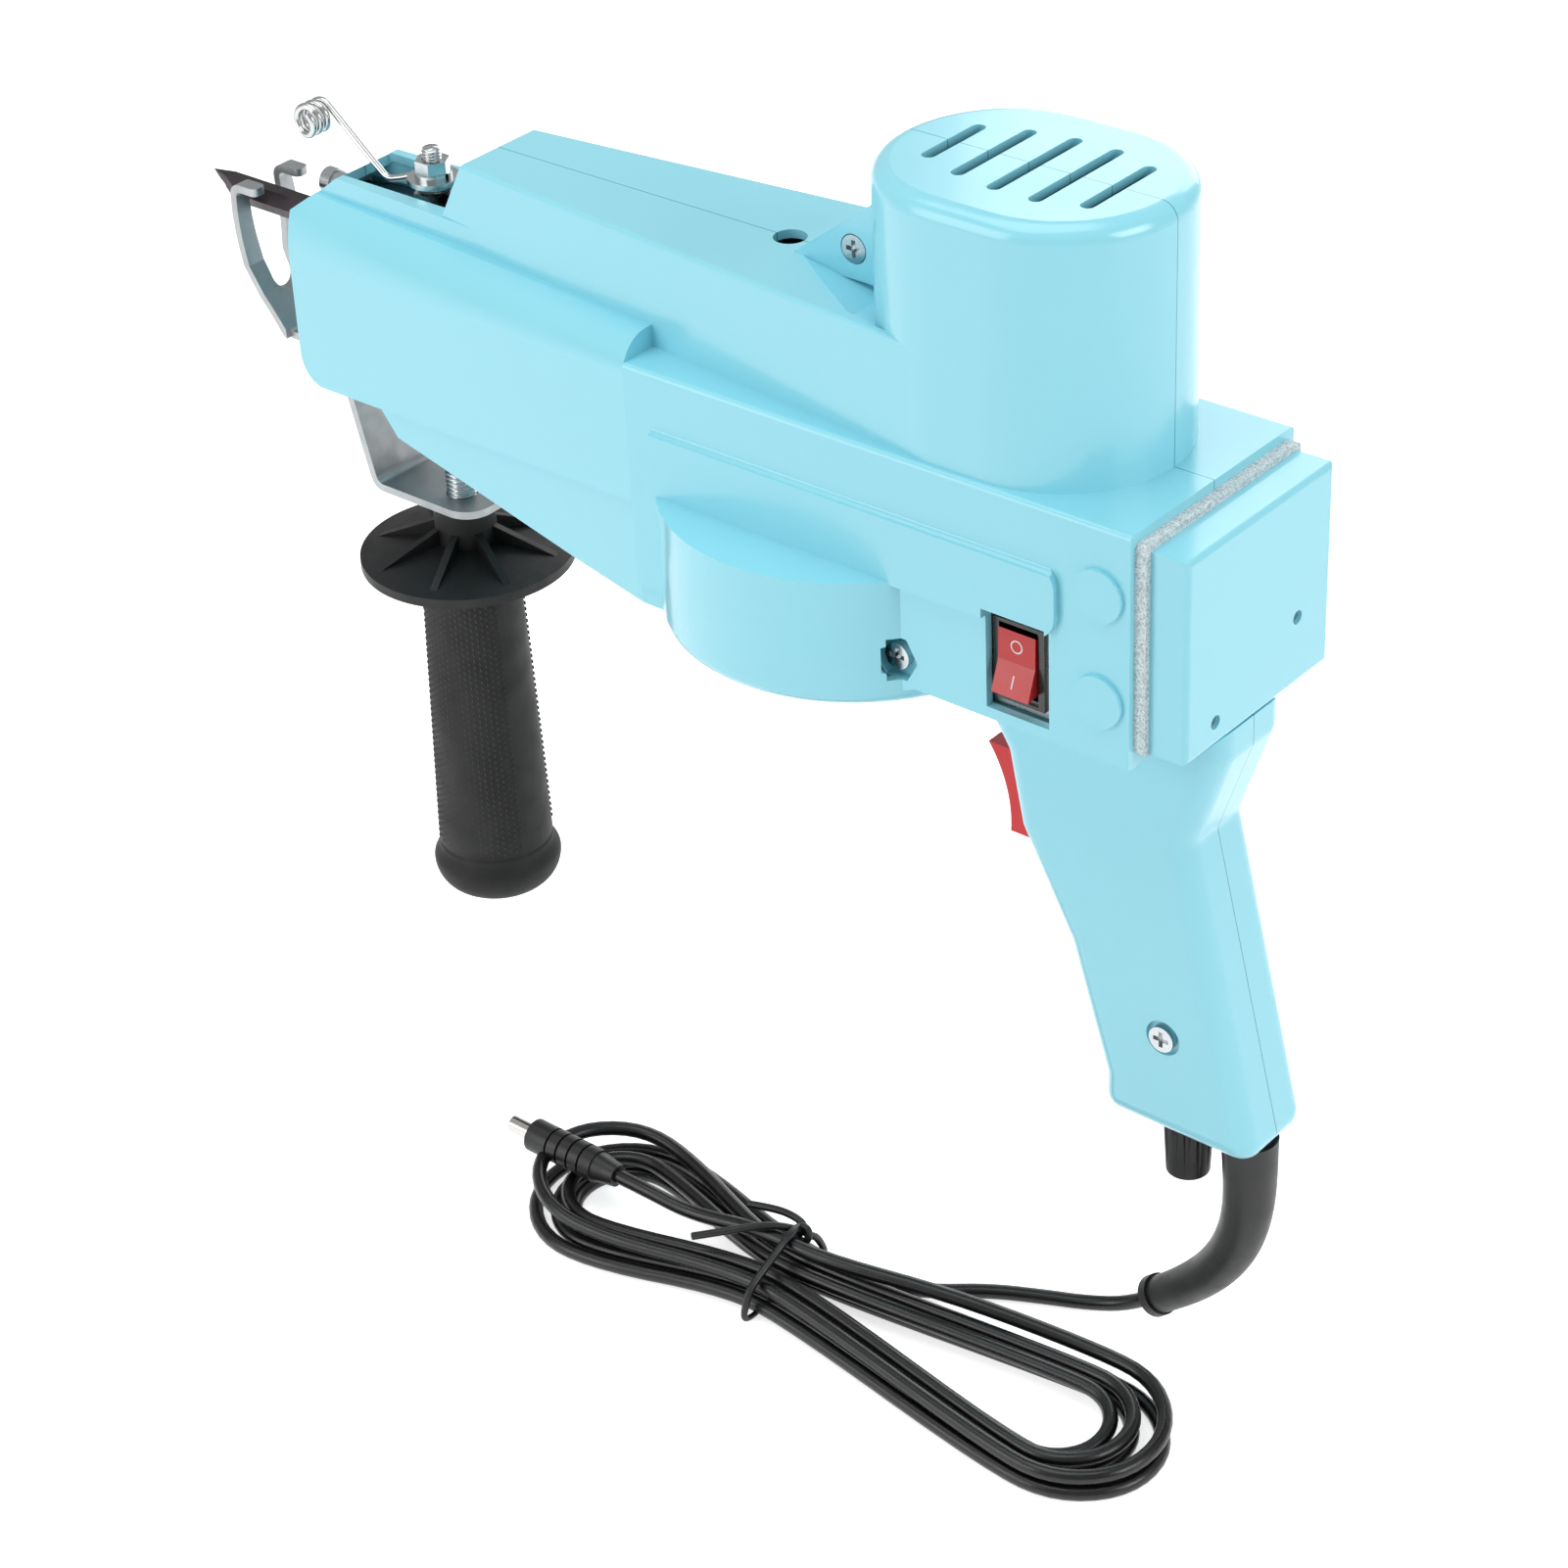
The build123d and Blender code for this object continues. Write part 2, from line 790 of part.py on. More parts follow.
def shell_openings():
    """Every opening of the shells."""
    slab((channel_front_x, -channel_half, channel_floor_z),
         (channel_rear_x, channel_half, nose_top_z + overrun), mode=Mode.SUBTRACT)
    slot_middle_x = (dome_front_x + dome_rear_x) / 2
    for number, share in enumerate(slot_length_shares):
        x = slot_middle_x + (number - (slot_count - 1) / 2) * slot_pitch
        with BuildSketch(Plane.XY.offset(dome_top_z - wall - dome_edge)) as slot:
            with Locations((x, 0)):
                SlotOverall(slot_length * share, slot_width, rotation=90)
        extrude(slot.sketch, amount=wall + dome_edge + overrun, mode=Mode.SUBTRACT)
    round_bar(Plane.XY.offset(wedge_top_z - 2 * wall), (yarn_hole_x, 0), yarn_hole_radius, 3 * wall,
              mode=Mode.SUBTRACT)
    slab((box_rear_x - wall - overrun, 2 * wall - plate_half, plate_bottom_z + 2 * wall),
         (box_rear_x + overrun, plate_half - 2 * wall, plate_top_z - 2 * wall), mode=Mode.SUBTRACT)
    slab((switch_front_x, -tier_half - overrun, switch_bottom_z),
         (switch_rear_x, wall + overrun - box_half, switch_top_z), mode=Mode.SUBTRACT)
    slab((trigger_front_x, -trigger_half - trigger_gap, trigger_bottom_z - trigger_gap),
         (trigger_rear_x + trigger_travel + overrun, trigger_half + trigger_gap, trigger_top_z + trigger_gap),
         mode=Mode.SUBTRACT)
    slab((grip_throat_x + 2 * wall, 2 * wall - grip_half, box_bottom_z - 2 * wall),
         (box_rear_x - 2 * wall, grip_half - 2 * wall, box_bottom_z + 2 * wall), mode=Mode.SUBTRACT)
    round_bar(Plane.XY.offset(grip_bottom_z - overrun), (knob_x, 0), control_shaft_radius + seat_gap,
              wall + 2 * overrun, mode=Mode.SUBTRACT)
    round_bar(Plane.XY.offset(grip_bottom_z - overrun), (boot_top_x, 0), boot_plug_radius + seat_gap,
              wall + 2 * overrun, mode=Mode.SUBTRACT)
    front = Plane.YZ.offset(nose_front_x - overrun)
    round_bar(front, (0, needle_z), bushing_radius + seat_gap, wall + 2 * overrun, mode=Mode.SUBTRACT)
    round_bar(front, (yarn_tube_y, yarn_tube_z), yarn_tube_radius + seat_gap,
              yarn_tube_rear_x - nose_front_x + 2 * overrun, mode=Mode.SUBTRACT)
    slab((nose_front_x - overrun, -foot_tail_half - seat_gap, foot_tail_z - foot_thickness / 2 - seat_gap),
         (nose_front_x + nose_corner, foot_tail_half + seat_gap, foot_tail_z + foot_thickness / 2 + seat_gap),
         mode=Mode.SUBTRACT)
    slab((bracket_leg_x - bracket_thickness / 2 - seat_gap, -bracket_half - seat_gap, bracket_foot_z),
         (bracket_leg_x + bracket_thickness / 2 + seat_gap, bracket_half + seat_gap, block_bottom_z),
         mode=Mode.SUBTRACT)
    round_bar(Plane.XY.offset(bracket_foot_z), (foot_screw_x, 0), foot_screw_head_radius + seat_gap,
              block_bottom_z - bracket_foot_z, mode=Mode.SUBTRACT)
    round_bar(Plane.XY.offset(bracket_foot_z), (handle_x, 0), handle_stud_radius + seat_gap,
              block_bottom_z - bracket_foot_z, mode=Mode.SUBTRACT)
    round_bar(Plane.XY.offset(lower_bearing_z), (housing_x, 0), bearing_radius + run_gap,
              bearing_width + overrun, mode=Mode.SUBTRACT)
    with BuildSketch(Plane.XZ.offset(box_half - pocket_depth)) as pocket:
        with Locations((housing_screw_x, housing_screw_z)):
            RegularPolygon(pocket_radius, side_count=6)
    extrude(pocket.sketch, amount=tier_half + overrun - box_half + pocket_depth, mode=Mode.SUBTRACT)
    screw_hole(housing_screw_x, housing_screw_z, pocket_depth - box_half, box_half - 2 * wall)
    cross_bar(-grip_half - overrun, grip_recess_depth - grip_half, (grip_screw_x, grip_screw_z),
              grip_recess_radius, mode=Mode.SUBTRACT)
    screw_hole(grip_screw_x, grip_screw_z, grip_recess_depth - grip_half, grip_half - 2 * wall)
    screw_hole(ear_hole_x, ear_hole_z, screw_head_height - ear_half, ear_half - wall / 2)


def keep(builder, label):
    """Name a finished piece and write its file."""
    builder.part.label = label
    export_step(builder.part, "parts/" + label + ".step")
    print(label, round(builder.part.volume, 1), builder.part.is_valid)


os.makedirs("parts", exist_ok=True)

with BuildPart() as body_shell:
    add(body_form(0))
    add(body_form(wall), mode=Mode.SUBTRACT)
    shell_features()
    shell_openings()

with BuildPart() as left_shell:
    add(body_shell.part)
    split(bisect_by=Plane.XZ, keep=Keep.TOP)
keep(left_shell, "left_shell")

with BuildPart() as right_shell:
    add(body_shell.part)
    split(bisect_by=Plane.XZ, keep=Keep.BOTTOM)
keep(right_shell, "right_shell")


# Screws across the shells

def side_screw(x, z, head_y, end_y):
    """A pan-head screw across the machine with a cross recess in its head."""
    cross_bar(head_y, end_y, (x, z), screw_radius)
    cross_bar(head_y - screw_head_height, head_y, (x, z), screw_head_radius)
    blade = screw_head_radius / 6
    reach = screw_head_radius * 5 / 8
    low_y = head_y - screw_head_height - overrun
    cut_y = head_y - screw_head_height / 2
    slab((x - blade, low_y, z - reach), (x + blade, cut_y, z + reach), mode=Mode.SUBTRACT)
    slab((x - reach, low_y, z - blade), (x + reach, cut_y, z + blade), mode=Mode.SUBTRACT)


with BuildPart() as shell_screws:
    side_screw(housing_screw_x, housing_screw_z, pocket_depth - box_half, box_half - 2 * wall - overrun)
    side_screw(ear_hole_x, ear_hole_z, screw_head_height - ear_half, ear_half - wall)
keep(shell_screws, "shell_screws")

with BuildPart() as grip_screw:
    side_screw(grip_screw_x, grip_screw_z, grip_recess_depth - grip_half, grip_half - 2 * wall - overrun)
keep(grip_screw, "grip_screw")


# Rear plate and cap

with BuildPart() as rear_plate:
    slab((box_rear_x, -plate_half, plate_bottom_z), (plate_rear_x, plate_half, plate_top_z))
    fillet(rear_plate.edges().filter_by(Axis.X), radius=cap_edge)
    slab((box_rear_x - overrun, 3 * wall - plate_half, plate_bottom_z + 3 * wall),
         (plate_rear_x + overrun, plate_half - 3 * wall, plate_top_z - 3 * wall), mode=Mode.SUBTRACT)
    for y, z in ((cap_hole_y, cap_hole_z), (cap_second_hole_y, cap_second_hole_z)):
        slab((box_rear_x, y - 2 * cap_hole_radius, z - 2 * cap_hole_radius),
             (plate_rear_x, y + 2 * cap_hole_radius, z + 2 * cap_hole_radius))
        round_bar(Plane.YZ.offset(box_rear_x - overrun), (y, z), cap_screw_radius + run_gap,
                  plate_thickness + 2 * overrun, mode=Mode.SUBTRACT)
    slab((box_rear_x, -cap_hole_radius, plate_bottom_z), (plate_rear_x, cap_hole_radius, plate_top_z))
    slab((box_rear_x, -plate_half, cap_second_hole_z - cap_hole_radius),
         (plate_rear_x, plate_half, cap_second_hole_z + cap_hole_radius))
    slab((box_rear_x, -plate_half, cap_hole_z - cap_hole_radius),
         (plate_rear_x, plate_half, cap_hole_z + cap_hole_radius))
    for y, z in ((cap_hole_y, cap_hole_z), (cap_second_hole_y, cap_second_hole_z)):
        round_bar(Plane.YZ.offset(box_rear_x - overrun), (y, z), cap_screw_radius + run_gap,
                  plate_thickness + 2 * overrun, mode=Mode.SUBTRACT)
keep(rear_plate, "rear_plate")

with BuildPart() as rear_cap:
    slab((plate_rear_x, -cap_half, cap_bottom_z), (cap_rear_x, cap_half, cap_top_z))
    fillet(rear_cap.faces().sort_by(Axis.X)[-1].edges(), radius=cap_edge)
    slab((plate_rear_x - overrun, wall - cap_half, cap_bottom_z + wall),
         (cap_rear_x - wall, cap_half - wall, cap_top_z - wall), mode=Mode.SUBTRACT)
    for y, z in ((cap_hole_y, cap_hole_z), (cap_second_hole_y, cap_second_hole_z)):
        round_bar(Plane.YZ.offset(plate_rear_x), (y, z), cap_hole_radius + wall, cap_length - wall / 2)
        round_bar(Plane.YZ.offset(plate_rear_x - overrun), (y, z), cap_screw_radius + run_gap,
                  cap_length + 2 * overrun, mode=Mode.SUBTRACT)
        round_bar(Plane.YZ.offset(cap_rear_x - wall), (y, z), cap_hole_radius, wall + overrun,
                  mode=Mode.SUBTRACT)
keep(rear_cap, "rear_cap")

with BuildPart() as cap_screws:
    for y, z in ((cap_hole_y, cap_hole_z), (cap_second_hole_y, cap_second_hole_z)):
        round_bar(Plane.YZ.offset(box_rear_x), (y, z), cap_screw_radius, cap_length + plate_thickness - wall)
        round_bar(Plane.YZ.offset(cap_rear_x - wall), (y, z), cap_hole_radius - run_gap, wall / 2)
keep(cap_screws, "cap_screws")


# Chassis plate, motor and gear train

def wheel_points(teeth, turn):
    """Outline of an involute spur wheel, turned by an angle in degrees."""
    pitch = gear_module * teeth / 2
    base = pitch * cos(radians(pressure_angle))
    root = pitch - tooth_root_share * gear_module
    tip = pitch + gear_module

    def half_angle(radius):
        """Half of a tooth's angle at a radius."""
        at_pitch = pi / (2 * teeth) - gear_backlash / (2 * pitch)
        slope = acos(base / max(radius, base))
        pressure = radians(pressure_angle)
        return at_pitch + tan(pressure) - pressure - (tan(slope) - slope)

    points = []
    for tooth in range(teeth):
        middle = radians(turn) + 2 * pi * tooth / teeth
        for radius, side in ((root, -1), (pitch, -1), (tip, -1), (tip, 1), (pitch, 1), (root, 1)):
            angle = middle + side * half_angle(radius)
            points.append((radius * cos(angle), radius * sin(angle)))
    return points


def wheel(x, z, width, teeth, turn):
    """A spur wheel's toothed disc on a vertical axis."""
    with BuildSketch(Plane.XY.offset(z)) as section:
        with BuildLine():
            Polyline(*wheel_points(teeth, turn), close=True)
        make_face()
    extrude(section.sketch.moved(Location((x, 0, 0))), amount=width)


with BuildPart() as chassis_plate:
    slab((chassis_front_x, -tier_half, chassis_z), (chassis_rear_x, tier_half, chassis_top_z))
    add(box_form(wall + seat_gap), mode=Mode.INTERSECT)
    round_bar(Plane.XY.offset(upper_bearing_z - overrun), (housing_x, 0), bearing_boss_radius,
              chassis_top_z - upper_bearing_z + overrun)
    for side in (-1, 1):
        low_y = min(side * carriage_cheek_inner, side * carriage_half)
        high_y = max(side * carriage_cheek_inner, side * carriage_half)
        slab((guide_post_x, low_y, chassis_z),
             (guide_post_x + guide_post_thickness, high_y, guide_post_top_z))
        round_bar(Plane.YZ.offset(guide_post_x - overrun), (side * guide_rod_y, guide_rod_z),
                  guide_rod_radius + run_gap, guide_post_thickness + 2 * overrun, mode=Mode.SUBTRACT)
        round_bar(Plane.XY.offset(chassis_z - overrun), (motor_x, side * motor_screw_circle),
                  motor_screw_radius + run_gap, chassis_thickness + 2 * overrun, mode=Mode.SUBTRACT)
    round_bar(Plane.XY.offset(upper_bearing_z), (housing_x, 0), bearing_radius + run_gap,
              bearing_width + overrun, mode=Mode.SUBTRACT)
    round_bar(Plane.XY.offset(upper_bearing_z - 2 * overrun), (housing_x, 0), bearing_radius - wall / 2,
              bearing_width, mode=Mode.SUBTRACT)
    round_bar(Plane.XY.offset(chassis_z - overrun), (motor_x, 0), motor_boss_radius + seat_gap,
              chassis_thickness + 2 * overrun, mode=Mode.SUBTRACT)
keep(chassis_plate, "chassis_plate")

with BuildPart() as gear_bearings:
    for z in (lower_bearing_z, upper_bearing_z):
        round_bar(Plane.XY.offset(z), (housing_x, 0), bearing_radius, bearing_width)
        round_bar(Plane.XY.offset(z - overrun), (housing_x, 0), gear_shaft_radius + run_gap,
                  bearing_width + 2 * overrun, mode=Mode.SUBTRACT)
keep(gear_bearings, "gear_bearings")

with BuildPart() as gear_shaft:
    round_bar(Plane.XY.offset(lower_bearing_z + seat_gap), (housing_x, 0), gear_shaft_radius,
              crank_disc_top_z - overrun - lower_bearing_z - seat_gap)
keep(gear_shaft, "gear_shaft")

with BuildPart() as drive_gear:
    wheel(housing_x, gear_bottom_z, gear_width, gear_teeth, 0)
    round_bar(Plane.XY.offset(gear_bottom_z - gear_hub_rise), (housing_x, 0), gear_hub_radius,
              gear_width + 2 * gear_hub_rise)
    gear_root_radius = gear_module * gear_teeth / 2 - tooth_root_share * gear_module
    window_circle = (gear_hub_radius + gear_root_radius) / 2
    with BuildSketch(Plane.XY.offset(gear_bottom_z - overrun)) as windows:
        with Locations((housing_x, 0)):
            with PolarLocations(window_circle, gear_window_count):
                Circle(gear_window_radius)
    extrude(windows.sketch, amount=gear_width + 2 * overrun, mode=Mode.SUBTRACT)
    round_bar(Plane.XY.offset(gear_bottom_z - gear_hub_rise - overrun), (housing_x, 0),
              gear_shaft_radius + run_gap, gear_width + 2 * gear_hub_rise + 2 * overrun, mode=Mode.SUBTRACT)
keep(drive_gear, "drive_gear")

with BuildPart() as crank_disc:
    round_bar(Plane.XY.offset(crank_disc_z), (housing_x, 0), crank_disc_radius, crank_disc_thickness)
    round_bar(Plane.XY.offset(crank_disc_z - overrun), (housing_x, 0), gear_shaft_radius + run_gap,
              crank_disc_thickness + 2 * overrun, mode=Mode.SUBTRACT)
    round_bar(Plane.XY.offset(crank_disc_z + overrun), (crank_x, 0), crank_pin_radius + run_gap,
              crank_disc_thickness, mode=Mode.SUBTRACT)
keep(crank_disc, "crank_disc")

with BuildPart() as crank_pin:
    round_bar(Plane.XY.offset(crank_disc_z + overrun), (crank_x, 0), crank_pin_radius,
              crank_pin_top_z - crank_disc_z - overrun)
keep(crank_pin, "crank_pin")

with BuildPart() as motor_can:
    round_bar(Plane.XY.offset(chassis_top_z), (motor_x, 0), motor_radius, motor_top_z - chassis_top_z)
    round_bar(Plane.XY.offset(chassis_top_z - motor_boss_height), (motor_x, 0), motor_boss_radius,
              motor_boss_height)
    round_bar(Plane.XY.offset(chassis_top_z + wall), (motor_x, 0), motor_radius - wall / 2,
              motor_top_z - chassis_top_z, mode=Mode.SUBTRACT)
    round_bar(Plane.XY.offset(chassis_top_z - motor_boss_height - overrun), (motor_x, 0),
              motor_shaft_radius + run_gap, motor_boss_height + wall + 2 * overrun, mode=Mode.SUBTRACT)
    for side in (-1, 1):
        round_bar(Plane.XY.offset(chassis_top_z - overrun), (motor_x, side * motor_screw_circle),
                  motor_screw_radius + run_gap, wall + 2 * overrun, mode=Mode.SUBTRACT)
keep(motor_can, "motor_can")

with BuildPart() as motor_end_cap:
    round_bar(Plane.XY.offset(motor_top_z), (motor_x, 0), motor_radius, motor_cap_height)
    fillet(motor_end_cap.edges().sort_by(Axis.Z)[-1], radius=wall)
    round_bar(Plane.XY.offset(motor_top_z - overrun), (motor_x, 0), motor_shaft_radius + run_gap,
              wall + overrun, mode=Mode.SUBTRACT)
    with BuildSketch(Plane.XY.offset(motor_top_z - overrun)) as vents:
        with Locations((motor_x, 0)):
            with PolarLocations((motor_radius + motor_boss_radius) / 2, motor_vent_count):
                Circle(motor_vent_radius)
    extrude(vents.sketch, amount=motor_cap_height + 2 * overrun, mode=Mode.SUBTRACT)
keep(motor_end_cap, "motor_end_cap")

with BuildPart() as motor_shaft:
    round_bar(Plane.XY.offset(pinion_bottom_z), (motor_x, 0), motor_shaft_radius,
              motor_top_z + wall - overrun - pinion_bottom_z)
    round_bar(Plane.XY.offset(chassis_top_z + 2 * wall), (motor_x, 0), motor_radius - 2 * wall,
              motor_top_z - chassis_top_z - 4 * wall)
keep(motor_shaft, "motor_shaft")

with BuildPart() as motor_pinion:
    wheel(motor_x, pinion_bottom_z, pinion_width, pinion_teeth, 180 / pinion_teeth)
    round_bar(Plane.XY.offset(pinion_bottom_z - overrun), (motor_x, 0), motor_shaft_radius + run_gap,
              pinion_width + 2 * overrun, mode=Mode.SUBTRACT)
keep(motor_pinion, "motor_pinion")

with BuildPart() as motor_screws:
    for side in (-1, 1):
        round_bar(Plane.XY.offset(chassis_z), (motor_x, side * motor_screw_circle), motor_screw_radius,
                  chassis_thickness + wall)
        round_bar(Plane.XY.offset(chassis_z - wall), (motor_x, side * motor_screw_circle),
                  motor_screw_head_radius, wall)
keep(motor_screws, "motor_screws")


# Needle drive

with BuildPart() as connecting_rod:
    with BuildSketch(Plane.XY.offset(rod_bottom_z)):
        with Locations((wrist_x, 0), (crank_x, 0)):
            Circle(rod_eye_radius)
        with Locations(((wrist_x + crank_x) / 2, 0)):
            Rectangle(rod_length, 2 * rod_half)
        with Locations((wrist_x, 0)):
            Circle(wrist_pin_radius + run_gap, mode=Mode.SUBTRACT)
        with Locations((crank_x, 0)):
            Circle(crank_pin_radius + run_gap, mode=Mode.SUBTRACT)
    extrude(amount=rod_thickness)
keep(connecting_rod, "connecting_rod")

with BuildPart() as wrist_pin:
    round_bar(Plane.XY.offset(rod_bottom_z - rod_gap), (wrist_x, 0), wrist_pin_radius,
              carriage_top_z - overrun - rod_bottom_z + rod_gap)
    round_bar(Plane.XY.offset(rod_bottom_z - rod_gap - wrist_head_height), (wrist_x, 0), wrist_head_radius,
              wrist_head_height)
keep(wrist_pin, "wrist_pin")

with BuildPart() as needle_carriage:
    slab((carriage_front_x, -carriage_half, carriage_bridge_z),
         (carriage_rear_x, carriage_half, carriage_top_z))
    for side in (-1, 1):
        low_y = min(side * carriage_cheek_inner, side * carriage_half)
        high_y = max(side * carriage_cheek_inner, side * carriage_half)
        slab((carriage_front_x, low_y, carriage_bottom_z), (carriage_rear_x, high_y, carriage_bridge_z))
        round_bar(Plane.YZ.offset(carriage_front_x - overrun), (side * guide_rod_y, guide_rod_z),
                  guide_rod_radius + run_gap, carriage_rear_x - carriage_front_x + 2 * overrun,
                  mode=Mode.SUBTRACT)
    hex_bar(Plane.YZ.offset(carriage_front_x - overrun), (0, needle_z), needle_radius + run_gap,
            needle_rear_x - carriage_front_x + overrun, 0, mode=Mode.SUBTRACT)
    round_bar(Plane.XY.offset(carriage_bridge_z - overrun), (wrist_x, 0), wrist_pin_radius + run_gap,
              carriage_top_z - carriage_bridge_z + 2 * overrun, mode=Mode.SUBTRACT)
keep(needle_carriage, "needle_carriage")

with BuildPart() as needle:
    hex_bar(Plane.YZ.offset(needle_tip_x), (0, needle_z), needle_radius, needle_rear_x - needle_tip_x, 0)
    flat_half = needle_radius * cos(radians(30))
    bevel = [
        (needle_tip_x - overrun, needle_z - needle_radius - overrun),
        (needle_tip_x - overrun, needle_z + flat_half),
        (needle_tip_x, needle_z + flat_half),
        (needle_bevel_x, needle_z - flat_half),
        (needle_bevel_x, needle_z - needle_radius - overrun),
    ]
    profile_solid(bevel, 2 * needle_radius, mode=Mode.SUBTRACT)
    for side in (-1, 1):
        cheek = [
            (needle_tip_x - overrun, 0),
            (needle_tip_x, 0),
            (needle_tip_x + needle_point_length, side * needle_radius),
            (needle_tip_x + needle_point_length, side * 2 * needle_radius),
            (needle_tip_x - overrun, side * 2 * needle_radius),
        ]
        with BuildSketch(Plane.XY.offset(needle_z - 2 * needle_radius)) as side_cut:
            with BuildLine():
                Polyline(*cheek, close=True)
            make_face()
        extrude(side_cut.sketch, amount=4 * needle_radius, mode=Mode.SUBTRACT)
    round_bar(Plane.YZ.offset(needle_tip_x - overrun), (0, needle_z), needle_bore_radius,
              carriage_front_x - needle_tip_x, mode=Mode.SUBTRACT)
keep(needle, "needle")

bushing_front_x = nose_front_x - run_gap

with BuildPart() as needle_bushing:
    round_bar(Plane.YZ.offset(bushing_front_x), (0, needle_z), bushing_radius, bushing_length)
    hex_bar(Plane.YZ.offset(bushing_front_x - overrun), (0, needle_z), needle_radius + run_gap,
            bushing_length + 2 * overrun, 0, mode=Mode.SUBTRACT)
keep(needle_bushing, "needle_bushing")

with BuildPart() as guide_rods:
    for side in (-1, 1):
        round_bar(Plane.YZ.offset(guide_rod_front_x), (side * guide_rod_y, guide_rod_z), guide_rod_radius,
                  guide_post_x + guide_post_thickness - guide_rod_front_x)
keep(guide_rods, "guide_rods")


# Front block, yarn tube, presser foot and its screw

with BuildPart() as front_block:
    slab((block_front_x, -box_half, block_bottom_z), (block_rear_x, box_half, block_top_z))
    add(nose_form(wall + seat_gap), mode=Mode.INTERSECT)
    slab((stud_pad_front_x, -stud_pad_half, block_top_z - overrun),
         (stud_pad_rear_x, stud_pad_half, stud_pad_top_z))
    block_length = block_rear_x - block_front_x
    round_bar(Plane.YZ.offset(block_front_x - overrun), (0, needle_z), needle_radius + wall / 2,
              block_length + 2 * overrun, mode=Mode.SUBTRACT)
    round_bar(Plane.YZ.offset(block_front_x - overrun), (0, needle_z), bushing_radius + run_gap,
              bushing_front_x + bushing_length + overrun - block_front_x, mode=Mode.SUBTRACT)
    round_bar(Plane.YZ.offset(block_front_x - overrun), (yarn_tube_y, yarn_tube_z),
              yarn_tube_radius + run_gap, block_length + 2 * overrun, mode=Mode.SUBTRACT)
    for side in (-1, 1):
        round_bar(Plane.YZ.offset(guide_rod_front_x), (side * guide_rod_y, guide_rod_z),
                  guide_rod_radius + run_gap, block_rear_x + overrun - guide_rod_front_x, mode=Mode.SUBTRACT)
        round_bar(Plane.YZ.offset(block_front_x - overrun), (side * bracket_screw_y, bracket_screw_z),
                  bracket_screw_radius + run_gap, 4 * wall + overrun, mode=Mode.SUBTRACT)
    round_bar(Plane.XY.offset(stud_bottom_z), (stud_x, 0), stud_radius + run_gap,
              stud_pad_top_z + overrun - stud_bottom_z, mode=Mode.SUBTRACT)
    round_bar(Plane.XY.offset(block_bottom_z - overrun), (handle_x, 0), handle_stud_radius + run_gap,
              handle_stud_top_z + overrun - block_bottom_z, mode=Mode.SUBTRACT)
    round_bar(Plane.XY.offset(block_bottom_z - overrun), (foot_screw_x, 0), foot_screw_radius + run_gap,
              3 * wall + overrun, mode=Mode.SUBTRACT)
keep(front_block, "front_block")

with BuildPart() as yarn_tube:
    round_bar(Plane.YZ.offset(yarn_tube_x), (yarn_tube_y, yarn_tube_z), yarn_tube_radius,
              yarn_tube_rear_x - yarn_tube_x)
    round_bar(Plane.YZ.offset(yarn_tube_x), (yarn_tube_y, yarn_tube_z), yarn_ring_radius, yarn_ring_length)
    round_bar(Plane.YZ.offset(yarn_tube_x - overrun), (yarn_tube_y, yarn_tube_z), yarn_tube_bore,
              yarn_tube_rear_x - yarn_tube_x + 2 * overrun, mode=Mode.SUBTRACT)
keep(yarn_tube, "yarn_tube")


def bent_strip(points, radius, half, thickness):
    """A sheet strip bent along a side view of straight runs and equal bends."""
    corners = [(x, 0, z) for x, z in points]
    with BuildLine() as path:
        FilletPolyline(*corners, radius=radius)
    with BuildSketch(Plane(origin=path.line @ 0, x_dir=(0, 1, 0), z_dir=path.line % 0)) as section:
        Rectangle(2 * half, thickness)
    sweep(section.sketch, path=path.line)


